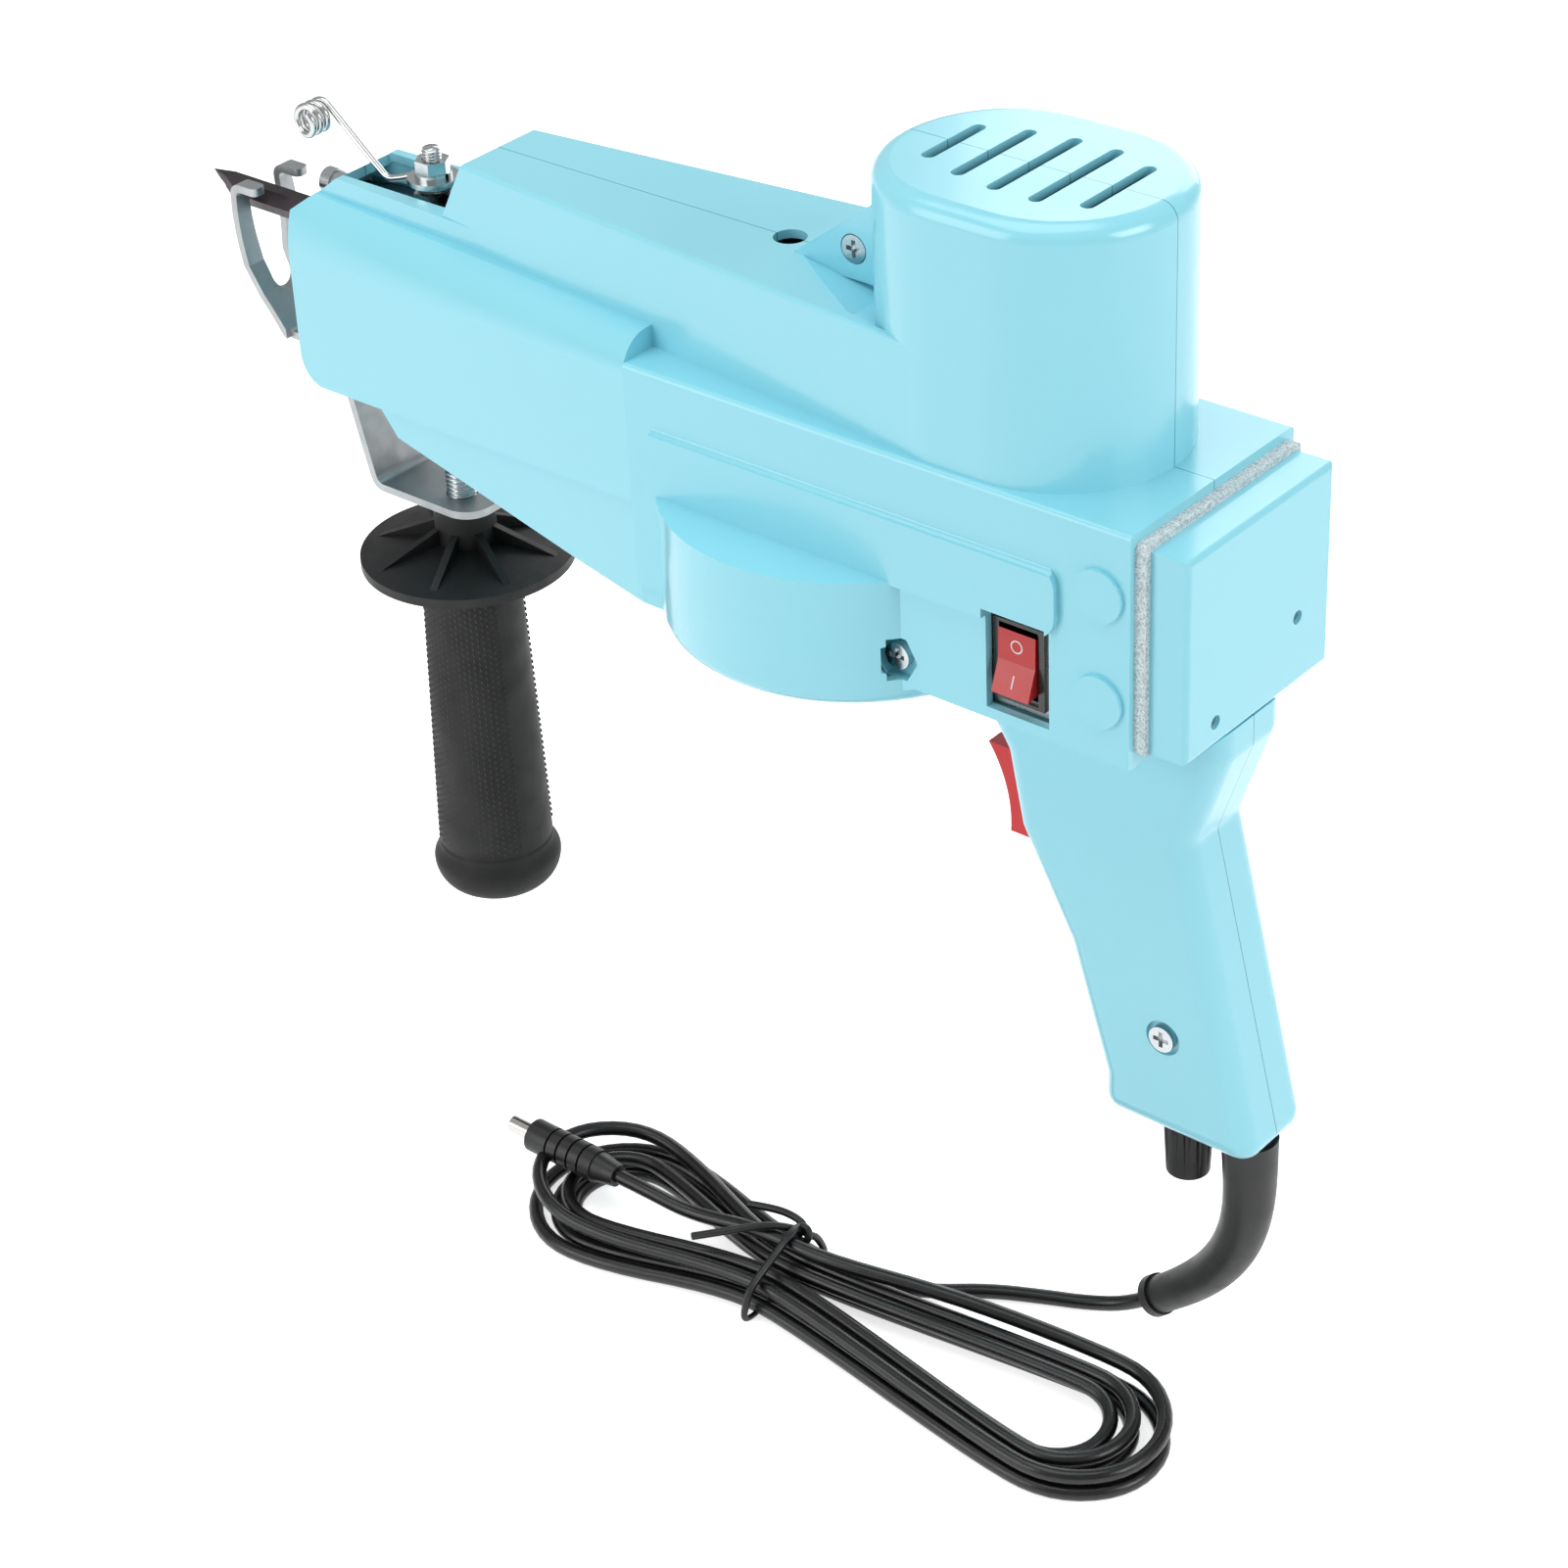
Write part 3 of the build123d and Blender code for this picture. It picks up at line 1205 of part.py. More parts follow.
with BuildPart() as presser_foot:
    foot_points = [
        (foot_tab_x, foot_top_z),
        (foot_face_x, foot_top_z),
        (foot_knee_x, foot_knee_z),
        (foot_shin_x, foot_shin_z),
        (foot_toe_x, foot_tail_z),
        (foot_tail_x, foot_tail_z),
    ]
    bent_strip(foot_points, foot_bend, foot_half, foot_thickness)
    above_z = foot_top_z + 2 * foot_thickness
    below_z = foot_tail_z - 2 * foot_thickness
    inner_top_y = foot_inner_edge[-1][0]
    outer_top_y = foot_outer_edge[0][0]
    outer_low_y = foot_outer_edge[-1][0]
    half_round = foot_slot_round * sqrt(1 / 2)
    with BuildSketch(Plane.YZ.offset(foot_face_x - 2 * foot_bend)) as prongs:
        with BuildLine():
            ThreePointArc((0, foot_slot_round_z - foot_slot_round),
                          (half_round, foot_slot_round_z - half_round),
                          (foot_slot_round, foot_slot_round_z))
            Spline((foot_slot_round, foot_slot_round_z), *foot_inner_edge, tangents=((0, 1), (0, 1)))
            Line(foot_inner_edge[-1], (inner_top_y, above_z))
            Line((inner_top_y, above_z), (outer_top_y, above_z))
            Line((outer_top_y, above_z), foot_outer_edge[0])
            Spline(*foot_outer_edge)
            Line(foot_outer_edge[-1], (outer_low_y, below_z))
            Line((outer_low_y, below_z), (0, below_z))
            mirror(about=Plane.YZ)
        make_face()
    extrude(prongs.sketch, amount=foot_tail_x - foot_face_x + 4 * foot_bend, mode=Mode.INTERSECT)
    tab_edges = presser_foot.edges().filter_by(Axis.Z).filter_by_position(
        Axis.X, foot_tab_x - run_gap, foot_tab_x + run_gap)
    fillet(tab_edges, radius=foot_tab_round)
    for side in (-1, 1):
        low_y = min(side * foot_tail_half, side * (foot_half + overrun))
        high_y = max(side * foot_tail_half, side * (foot_half + overrun))
        slab((foot_toe_x, low_y, foot_tail_z - foot_thickness), (foot_tail_x + overrun, high_y, foot_shin_z),
             mode=Mode.SUBTRACT)
    slot_half = foot_travel + foot_slot_half
    with BuildSketch(Plane.XY.offset(foot_tail_z - foot_thickness)) as tail_slot:
        with Locations((foot_screw_x, 0)):
            SlotOverall(2 * slot_half, 2 * foot_slot_half)
    extrude(tail_slot.sketch, amount=2 * foot_thickness, mode=Mode.SUBTRACT)
keep(presser_foot, "presser_foot")

with BuildPart() as foot_screw:
    foot_under_z = foot_tail_z - foot_thickness / 2 - run_gap
    round_bar(Plane.XY.offset(foot_under_z), (foot_screw_x, 0), foot_screw_radius,
              block_bottom_z + 2 * wall - foot_under_z)
    round_bar(Plane.XY.offset(foot_under_z - foot_screw_head_height), (foot_screw_x, 0),
              foot_screw_head_radius, foot_screw_head_height)
keep(foot_screw, "foot_screw")


# Yarn guide, its stud, spacer, washers and nut

with BuildPart() as guide_stud:
    round_bar(Plane.XY.offset(stud_bottom_z), (stud_x, 0), stud_radius, stud_top_z - stud_bottom_z)
    chamfer(guide_stud.edges().sort_by(Axis.Z)[-1], length=run_gap * 10)
keep(guide_stud, "guide_stud")

with BuildPart() as stud_spacer:
    hex_bar(Plane.XY.offset(stud_pad_top_z), (stud_x, 0), spacer_radius, spacer_top_z - stud_pad_top_z, 0)
    round_bar(Plane.XY.offset(stud_pad_top_z - overrun), (stud_x, 0), stud_radius + run_gap,
              spacer_top_z - stud_pad_top_z + 2 * overrun, mode=Mode.SUBTRACT)
keep(stud_spacer, "stud_spacer")


def washer(z, radius, thickness):
    """A flat ring on the stud."""
    round_bar(Plane.XY.offset(z), (stud_x, 0), radius, thickness)
    round_bar(Plane.XY.offset(z - overrun), (stud_x, 0), stud_radius + run_gap, thickness + 2 * overrun,
              mode=Mode.SUBTRACT)


with BuildPart() as flat_washer:
    washer(washer_z, flat_washer_radius, flat_washer_thickness)
keep(flat_washer, "flat_washer")

with BuildPart() as spring_washer:
    washer(spring_washer_z, spring_washer_radius, spring_washer_thickness)
    slab((stud_x, -spring_washer_slit / 2, spring_washer_z - overrun),
         (stud_x + 2 * spring_washer_radius, spring_washer_slit / 2, nut_z + overrun), mode=Mode.SUBTRACT)
keep(spring_washer, "spring_washer")

with BuildPart() as guide_nut:
    hex_bar(Plane.XY.offset(nut_z), (stud_x, 0), nut_radius, nut_height, 0)
    round_bar(Plane.XY.offset(nut_z - overrun), (stud_x, 0), stud_radius + run_gap,
              nut_height + 2 * overrun, mode=Mode.SUBTRACT)
keep(guide_nut, "guide_nut")


def biarc(start, start_way, end, end_way):
    """Two arcs, tangent to each other, between two points with given directions."""
    chord = end - start
    if chord.cross(start_way).length < run_gap and chord.cross(end_way).length < run_gap:
        Line(start, end)
        return
    ways = start_way + end_way
    spread = 2 * (1 - start_way.dot(end_way))
    if spread < run_gap * run_gap:
        reach = chord.dot(chord) / (2 * chord.dot(ways))
    else:
        along = chord.dot(ways)
        reach = (sqrt(along * along + spread * chord.dot(chord)) - along) / spread
    middle = (start + end) / 2 + (start_way - end_way) * (reach / 2)
    middle_way = (end - end_way * reach - start - start_way * reach).normalized()
    TangentArc(start, middle, tangent=start_way)
    TangentArc(middle, end, tangent=middle_way)


def wound_tube(nodes, radius):
    """A tube through points with given directions, joined by pairs of arcs."""
    with BuildLine() as path:
        for (start, start_way), (end, end_way) in zip(nodes, nodes[1:]):
            biarc(start, start_way, end, end_way)
    with BuildSketch(Plane(origin=nodes[0][0], z_dir=nodes[0][1])) as section:
        Circle(radius)
    whole = path.wires()[0]
    sweep(section.sketch, path=whole)
    return whole


def least_gap(line, diameter, step):
    """The least gap of a tube to itself, measured on points along its line."""
    count = int(line.length / step)
    points = [line.position_at(number / count) for number in range(count + 1)]
    places = [(point.X, point.Y, point.Z) for point in points]
    skip = int(3 * diameter / step) + 1
    least = line.length
    for number, place in enumerate(places):
        for other in places[number + skip:]:
            apart = (place[0] - other[0]) ** 2 + (place[1] - other[1]) ** 2 + (place[2] - other[2]) ** 2
            least = min(least, apart)
    return sqrt(least) - diameter


def yarn_guide_nodes():
    """Points and directions of the wire: an eye, a bent arm and a coil."""
    eye_radius = stud_radius + run_gap * 4 + wire_radius
    eye_z = spacer_top_z + seat_gap + wire_radius
    nodes = []
    for quarter in range(4):
        angle = radians(90 * quarter) - pi
        place = Vector(stud_x + eye_radius * cos(angle), eye_radius * sin(angle), eye_z)
        way = Vector(-sin(angle), cos(angle), 0)
        nodes.append((place, way))
    bend = Vector(guide_bend_x, 0, guide_bend_z)
    eye_centre = Vector(stud_x, 0, eye_z)
    away = (bend - eye_centre).length
    leave_angle = pi - acos(eye_radius / away)
    place = Vector(stud_x + eye_radius * cos(leave_angle), eye_radius * sin(leave_angle), eye_z)
    flat_way = Vector(-sin(leave_angle), cos(leave_angle), 0)
    nodes.append((place, flat_way))
    place = place + flat_way * spacer_radius
    nodes.append((place, flat_way))
    first_way = (bend - place).normalized()
    coil_centre = Vector(guide_coil_x, 0, guide_coil_z)
    reach = coil_centre - bend
    rise = atan2(reach.Z, reach.X) - asin(guide_coil_radius / reach.length)
    second_way = Vector(cos(rise), 0, sin(rise))
    turn = first_way.get_angle(second_way)
    cut = guide_bend_radius * tan(radians(turn / 2))
    nodes.append((bend - first_way * cut, first_way))
    nodes.append((bend + second_way * cut, second_way))
    start_angle = rise - pi / 2
    lead = guide_coil_pitch / (2 * pi * guide_coil_radius)
    for quarter in range(4 * guide_coil_turns + 1):
        angle = start_angle + radians(90 * quarter)
        y = -guide_coil_pitch * quarter / 4
        place = Vector(guide_coil_x + guide_coil_radius * cos(angle), y,
                       guide_coil_z + guide_coil_radius * sin(angle))
        way = Vector(-sin(angle), -lead if quarter > 0 else 0, cos(angle)).normalized()
        nodes.append((place, way))
    return nodes


with BuildPart() as yarn_guide:
    guide_line = wound_tube(yarn_guide_nodes(), wire_radius)
keep(yarn_guide, "yarn_guide")
print("yarn guide: least gap", round(least_gap(guide_line, wire_diameter, wire_radius / 4), 2),
      "volume share", round(yarn_guide.part.volume / (guide_line.length * pi * wire_radius ** 2), 4))


# Side handle and its bracket

with BuildPart() as handle_bracket:
    bracket_end_x = handle_x + bracket_half + wall
    bracket_points = [
        (bracket_leg_x, bracket_top_z),
        (bracket_leg_x, bracket_knee_z),
        (bracket_bend_x, bracket_foot_z),
        (bracket_end_x, bracket_foot_z),
    ]
    bent_strip(bracket_points, bracket_bend, bracket_half, bracket_thickness)
    end_edges = handle_bracket.edges().filter_by(Axis.Z).group_by(Axis.X)[-1]
    fillet(end_edges, radius=bracket_half * 4 / 5)
    slab((bracket_leg_x - bracket_thickness, -bracket_window_half, bracket_window_bottom_z),
         (bracket_leg_x + bracket_thickness, bracket_window_half, bracket_window_top_z), mode=Mode.SUBTRACT)
    for side in (-1, 1):
        round_bar(Plane.YZ.offset(bracket_leg_x - bracket_thickness),
                  (side * bracket_screw_y, bracket_screw_z),
                  bracket_screw_radius + run_gap, 2 * bracket_thickness, mode=Mode.SUBTRACT)
    round_bar(Plane.XY.offset(bracket_foot_z - bracket_thickness), (handle_x, 0),
              handle_stud_radius + run_gap, 2 * bracket_thickness, mode=Mode.SUBTRACT)
keep(handle_bracket, "handle_bracket")

with BuildPart() as bracket_screws:
    for side in (-1, 1):
        face_x = bracket_leg_x - bracket_thickness / 2
        centre = (side * bracket_screw_y, bracket_screw_z)
        round_bar(Plane.YZ.offset(face_x), centre, bracket_screw_radius, bracket_thickness + 3 * wall)
        round_bar(Plane.YZ.offset(face_x - bracket_screw_head_height), centre, bracket_screw_head_radius,
                  bracket_screw_head_height)
keep(bracket_screws, "bracket_screws")

with BuildPart() as handle_stud:
    round_bar(Plane.XY.offset(handle_stud_bottom_z), (handle_x, 0), handle_stud_radius,
              handle_stud_top_z - handle_stud_bottom_z)
keep(handle_stud, "handle_stud")

handle_axis = Axis((handle_x, 0, 0), (0, 0, 1))

with BuildPart() as flange_rib:
    rib_side = [
        (handle_x + handle_neck_radius - overrun, handle_flange_z),
        (handle_x + handle_neck_radius - overrun, handle_flange_z + handle_rib_height),
        (handle_x + handle_neck_radius, handle_flange_z + handle_rib_height),
        (handle_x + handle_flange_radius - handle_rib_thickness, handle_flange_z),
    ]
    profile_solid(rib_side, handle_rib_thickness / 2)

with BuildPart() as side_handle:
    core_bottom_z = handle_grip_low_z
    flange_low_z = handle_flange_z - handle_flange_thickness
    core_side = [
        (handle_x, handle_top_z),
        (handle_x + handle_neck_radius, handle_top_z),
        (handle_x + handle_neck_radius, handle_flange_z + handle_flange_cone),
        (handle_x + handle_flange_radius, handle_flange_z),
        (handle_x + handle_flange_radius, flange_low_z),
        (handle_x + handle_core_radius, flange_low_z),
        (handle_x + handle_core_radius, core_bottom_z),
        (handle_x, core_bottom_z),
    ]
    with BuildSketch(Plane.XZ) as core_section:
        with BuildLine():
            Polyline(*core_side, close=True)
        make_face()
    revolve(core_section.sketch, axis=handle_axis)
    for number in range(handle_rib_count):
        add(flange_rib.part.rotate(handle_axis, 360 * (number + 1 / 2) / handle_rib_count))
    round_bar(Plane.XY.offset(handle_stud_bottom_z - overrun), (handle_x, 0), handle_stud_radius + run_gap,
              handle_top_z - handle_stud_bottom_z + 2 * overrun, mode=Mode.SUBTRACT)
keep(side_handle, "side_handle")

with BuildPart() as handle_sleeve:
    with BuildSketch(Plane.XZ) as sleeve_section:
        with BuildLine():
            Polyline(
                (handle_x, handle_bottom_z),
                (handle_x + handle_bulge_radius - wall, handle_bottom_z),
                (handle_x + handle_bulge_radius, handle_bulge_z - wall),
                (handle_x + handle_bulge_radius, handle_bulge_z),
                (handle_x + handle_grip_low_radius, handle_grip_low_z),
                (handle_x + handle_grip_top_radius, handle_grip_top_z),
                (handle_x + handle_core_radius + run_gap, handle_grip_top_z),
                (handle_x + handle_core_radius + run_gap, handle_grip_low_z - run_gap),
                (handle_x, handle_grip_low_z - run_gap),
                close=True,
            )
        make_face()
    revolve(sleeve_section.sketch, axis=handle_axis)
keep(handle_sleeve, "handle_sleeve")


# Rocker switch

switch_face_y = switch_recess - box_half
rocker_x = (bezel_front_x + bezel_rear_x) / 2
rocker_z = (bezel_bottom_z + bezel_top_z) / 2
rocker_pivot_y = switch_face_y + rocker_pivot_depth

with BuildPart() as switch_frame:
    slab((bezel_front_x, switch_face_y - switch_rim_height, bezel_bottom_z),
         (bezel_rear_x, switch_face_y, bezel_top_z))
    slab((bezel_front_x + switch_rim, switch_face_y, bezel_bottom_z + switch_rim),
         (bezel_rear_x - switch_rim, switch_face_y + switch_depth, bezel_top_z - switch_rim))
    slab((rocker_x - rocker_half - seat_gap, switch_face_y - 2 * switch_rim_height,
          rocker_z - rocker_half_height - 2 * rocker_pivot_depth),
         (rocker_x + rocker_half + seat_gap, switch_face_y + switch_depth / 2,
          rocker_z + rocker_half_height + 2 * rocker_pivot_depth), mode=Mode.SUBTRACT)
keep(switch_frame, "switch_frame")

with BuildPart() as switch_plate:
    slab((switch_front_x - wall, switch_face_y, switch_bottom_z + seat_gap),
         (switch_rear_x + wall, switch_face_y + overrun, switch_top_z - seat_gap))
    slab((bezel_front_x + switch_rim - run_gap, switch_face_y - overrun,
          bezel_bottom_z + switch_rim - run_gap),
         (bezel_rear_x - switch_rim + run_gap, switch_face_y + 2 * overrun,
          bezel_top_z - switch_rim + run_gap), mode=Mode.SUBTRACT)
keep(switch_plate, "switch_plate")

with BuildPart() as switch_rocker:
    with BuildSketch(Plane.YZ.offset(rocker_x - rocker_half)) as rocker_side:
        with BuildLine():
            Polyline(
                (rocker_pivot_y - rocker_face, rocker_z),
                (rocker_pivot_y - rocker_rise, rocker_z + rocker_half_height),
                (rocker_pivot_y + rocker_back, rocker_z + rocker_half_height * rocker_back_share),
                (rocker_pivot_y + rocker_back, rocker_z - rocker_half_height * rocker_back_share),
                (rocker_pivot_y - rocker_rise, rocker_z - rocker_half_height),
                close=True,
            )
        make_face()
    tilted = rocker_side.sketch.rotate(Axis((0, rocker_pivot_y, rocker_z), (1, 0, 0)), -rocker_tilt)
    extrude(tilted, amount=2 * rocker_half)
keep(switch_rocker, "switch_rocker")


# Trigger and its switch

with BuildPart() as trigger:
    trigger_middle_z = (trigger_top_z + trigger_bottom_z) / 2
    with BuildSketch(Plane.XZ) as trigger_side:
        with BuildLine():
            Line((trigger_rear_x, trigger_bottom_z), (trigger_rear_x, trigger_top_z))
            Line((trigger_rear_x, trigger_top_z), (trigger_front_x, trigger_top_z))
            ThreePointArc((trigger_front_x, trigger_top_z), (trigger_waist_x, trigger_middle_z),
                          (trigger_toe_x, trigger_bottom_z))
            Line((trigger_toe_x, trigger_bottom_z), (trigger_rear_x, trigger_bottom_z))
        make_face()
    extrude(trigger_side.sketch, amount=trigger_half, both=True)
    round_bar(Plane.YZ.offset(trigger_rear_x), (0, trigger_middle_z), trigger_stem_radius,
              trigger_stem_length)
    front_arc = trigger_side.edges().filter_by(GeomType.CIRCLE)[0]
    for number in range(trigger_rib_count):
        place = front_arc.position_at((number + 1) / (trigger_rib_count + 1))
        cross_bar(-trigger_half - overrun, trigger_half + overrun, (place.X, place.Z), trigger_rib_depth,
                  mode=Mode.SUBTRACT)
keep(trigger, "trigger")

with BuildPart() as trigger_switch:
    switch_half = grip_half - wall - seat_gap
    slab((trigger_switch_front_x, -switch_half, trigger_bottom_z + overrun),
         (trigger_switch_front_x + trigger_switch_length, switch_half, trigger_top_z - overrun))
    fillet(trigger_switch.edges().filter_by(Axis.X), radius=grip_edge - wall - seat_gap)
    round_bar(Plane.YZ.offset(trigger_switch_front_x - overrun), (0, trigger_middle_z),
              trigger_stem_radius + run_gap, trigger_stem_length + trigger_travel, mode=Mode.SUBTRACT)
keep(trigger_switch, "trigger_switch")


# Speed control and its knob

control_bottom_z = grip_bottom_z + wall

with BuildPart() as speed_control:
    round_bar(Plane.XY.offset(control_bottom_z), (knob_x, 0), control_radius, control_height)
    round_bar(Plane.XY.offset(control_bottom_z - overrun), (knob_x, 0), control_shaft_radius + run_gap,
              control_height * 4 / 5 + overrun, mode=Mode.SUBTRACT)
keep(speed_control, "speed_control")

with BuildPart() as control_shaft:
    shaft_low_z = grip_bottom_z - control_shaft_reach
    round_bar(Plane.XY.offset(shaft_low_z), (knob_x, 0), control_shaft_radius,
              control_bottom_z + control_height * 3 / 4 - shaft_low_z)
keep(control_shaft, "control_shaft")

with BuildPart() as speed_knob:
    knob_top_z = grip_bottom_z - 2 * seat_gap
    with BuildSketch(Plane.XY.offset(knob_top_z)) as knob_top:
        with Locations((knob_x, 0)):
            Circle(knob_radius)
    with BuildSketch(Plane.XY.offset(knob_bottom_z)) as knob_low:
        with Locations((knob_x, 0)):
            Circle(knob_low_radius)
    loft([knob_low.sketch, knob_top.sketch])
    with BuildSketch(Plane.XY.offset(knob_bottom_z - overrun)) as flutes:
        with Locations((knob_x, 0)):
            with PolarLocations(knob_radius, knob_flute_count):
                Circle(knob_flute_radius)
    extrude(flutes.sketch, amount=knob_top_z - knob_bottom_z - knob_flute_radius, mode=Mode.SUBTRACT)
    round_bar(Plane.XY.offset(shaft_low_z - overrun), (knob_x, 0), control_shaft_radius + run_gap,
              knob_top_z - shaft_low_z + 2 * overrun, mode=Mode.SUBTRACT)
keep(speed_knob, "speed_knob")


# Cord boot, lead, hank, tie and plug

def route_radii(points):
    """Fillet radius at each corner of a route: 0.45 of the shorter run, over tan of half the turn."""
    corner_share = 0.45
    radii = []
    for before, here, after in zip(points, points[1:], points[2:]):
        first = Vector(*here) - Vector(*before)
        second = Vector(*after) - Vector(*here)
        turn = radians(first.get_angle(second))
        radii.append(corner_share * min(first.length, second.length) / tan(turn / 2))
    return radii


with BuildPart() as cord_boot:
    boot_points = [(x, 0, z) for x, z in boot_route]
    with BuildLine() as boot_path:
        FilletPolyline(*boot_points, radius=route_radii(boot_points))
    boot_line = boot_path.wires()[0]
    boot_stations = 7
    sections = []
    for number in range(boot_stations):
        share = number / (boot_stations - 1)
        with BuildSketch(Plane(origin=boot_line @ share, x_dir=(0, 1, 0), z_dir=boot_line % share)) as ring:
            Circle(boot_start_radius + share * (boot_end_radius - boot_start_radius))
        sections.append(ring.sketch)
    loft(sections)
    round_bar(Plane.XY.offset(boot_route[0][1]), (boot_top_x, 0), boot_plug_radius, boot_plug_height)
    boot_end = Plane(origin=boot_line @ 1, x_dir=(0, 1, 0), z_dir=boot_line % 1)
    collar_plane = boot_end.offset(-boot_collar_length)
    round_bar(collar_plane, (0, 0), boot_collar_radius, boot_collar_length)
keep(cord_boot, "cord_boot")

hank_centre_half = hank_lobe_half - cord_radius
hank_start_y = hank_y + hank_start_nest * hank_waist_step
tie_lift = tie_thickness + seat_gap
waist_low_z = cord_low_z + tie_lift
layer_low_z = cord_low_z
layer_high_z = cord_low_z + hank_layer_step
layer_top_z = layer_high_z + hank_top_step
left_shoulder_x = hank_left_x + hank_lobe_half
right_shoulder_x = hank_right_x - hank_lobe_half

with BuildPart() as cord_lead:
    full_route = lead_route + [
        (tie_start_x + lead_last_run, hank_start_y, waist_low_z),
        (tie_start_x, hank_start_y, waist_low_z),
    ]
    with BuildLine() as lead_path:
        FilletPolyline(*full_route, radius=route_radii(full_route))
    lead_line = lead_path.wires()[0]
    with BuildSketch(Plane(origin=lead_line @ 0, z_dir=lead_line % 0)) as lead_section:
        Circle(cord_radius)
    sweep(lead_section.sketch, path=lead_line)
keep(cord_lead, "cord_lead")
print("lead radii", [round(radius, 1) for radius in route_radii(full_route)])
print("lead length", round(lead_line.length, 1), "volume share",
      round(cord_lead.part.volume / (lead_line.length * pi * cord_radius ** 2), 4))


def hank_nest(progress):
    """How many loops the hank has wound inwards after a number of loops."""
    return min(progress, 2 * hank_start_nest - progress)


def hank_nodes():
    """Points and directions of the hank: in on the low layer, out on the high one, then the tail."""
    nodes = [
        (Vector(tie_start_x, hank_start_y, waist_low_z), Vector(-1, 0, 0)),
        (Vector(tie_start_x - cord_diameter, hank_start_y, waist_low_z), Vector(-1, 0, 0)),
    ]
    climb = int(hank_start_nest * hank_nodes_per_loop)
    for number in range(hank_last_pass * hank_nodes_per_loop):
        progress = number / hank_nodes_per_loop
        lobe = hank_centre_half - hank_lobe_step * hank_nest(progress)
        waist = hank_waist_step * (hank_start_nest - hank_nest(progress))
        z = layer_low_z if number < climb else layer_high_z
        if number == climb:
            z = (layer_low_z + layer_high_z) / 2
        corners = (
            ((tie_x, waist, z + tie_lift), (-1, 0, 0)),
            ((left_shoulder_x, lobe, z), (-1, 0, 0)),
            ((left_shoulder_x - lobe, 0, z), (0, -1, 0)),
            ((left_shoulder_x, -lobe, z), (1, 0, 0)),
            ((tie_x, -waist, z + tie_lift), (1, 0, 0)),
            ((right_shoulder_x, -lobe, z), (1, 0, 0)),
            ((right_shoulder_x + lobe, 0, z), (0, 1, 0)),
            ((right_shoulder_x, lobe, z), (-1, 0, 0)),
        )
        place, way = corners[number % hank_nodes_per_loop]
        nodes.append((Vector(place[0], hank_y + place[1], place[2]), Vector(*way)))
    last_lobe = nodes[-1][0].Y - hank_y
    run = right_shoulder_x - tie_x
    fall = (last_lobe - tail_y) / run
    nodes.append((
        Vector(tie_x + run / 2, hank_y + (last_lobe + tail_y) / 2, layer_top_z),
        Vector(-1, -2 * fall, 0).normalized(),
    ))
    nodes.append((Vector(tie_x, hank_y + tail_y, layer_top_z + tie_lift), Vector(-1, 0, 0)))
    nodes.append((Vector(tail_middle_x, hank_y, layer_top_z - tie_lift), Vector(-1, 0, 0)))
    nodes.append((Vector(tail_end_x, hank_y + tail_plug_y, plug_z), Vector(-1, 0, 0)))
    nodes.append((Vector(tail_end_x - cord_diameter, hank_y + tail_plug_y, plug_z), Vector(-1, 0, 0)))
    return nodes


plug_z = layer_high_z + cord_radius + seat_gap + plug_radius

with BuildPart() as cord_hank:
    hank_line = wound_tube(hank_nodes(), cord_radius)
keep(cord_hank, "cord_hank")
print("hank length", round(hank_line.length, 1), "least gap",
      round(least_gap(hank_line, cord_diameter, cord_radius), 2), "volume share",
      round(cord_hank.part.volume / (hank_line.length * pi * cord_radius ** 2), 4))

with BuildPart() as hank_tie:
    tie_inner_half = hank_start_nest * hank_waist_step + cord_radius + seat_gap
    tie_inner_low = cord_floor_z + tie_thickness
    tie_inner_high = layer_top_z + tie_lift + cord_radius + seat_gap
    tie_middle_z = (tie_inner_low + tie_inner_high) / 2
    tie_height = tie_inner_high - tie_inner_low
    with BuildSketch(Plane.YZ.offset(tie_x - tie_width / 2)) as tie_ring:
        with Locations((hank_y, tie_middle_z)):
            RectangleRounded(2 * (tie_inner_half + tie_thickness), tie_height + 2 * tie_thickness,
                             cord_radius + tie_thickness)
            RectangleRounded(2 * tie_inner_half, tie_height, cord_radius, mode=Mode.SUBTRACT)
    extrude(tie_ring.sketch, amount=tie_width)
    end_z = tie_inner_high + tie_thickness
    for side in (-1, 1):
        with BuildLine() as end_path:
            FilletPolyline(
                (tie_x + tie_width / 2, hank_y + 2 * tail_y, end_z),
                (tie_x - tie_end_length / 4, hank_y + 2 * tail_y + side * tie_end_spread / 4,
                 end_z + tie_thickness),
                (tie_x - tie_end_length, hank_y + 2 * tail_y + side * tie_end_spread,
                 end_z - 2 * tie_thickness),
                radius=tie_end_length / 8,
            )
        with BuildSketch(Plane(origin=end_path.line @ 0, z_dir=end_path.line % 0)) as end_section:
            Circle(tie_end_radius)
        sweep(end_section.sketch, path=end_path.line)
keep(hank_tie, "hank_tie")

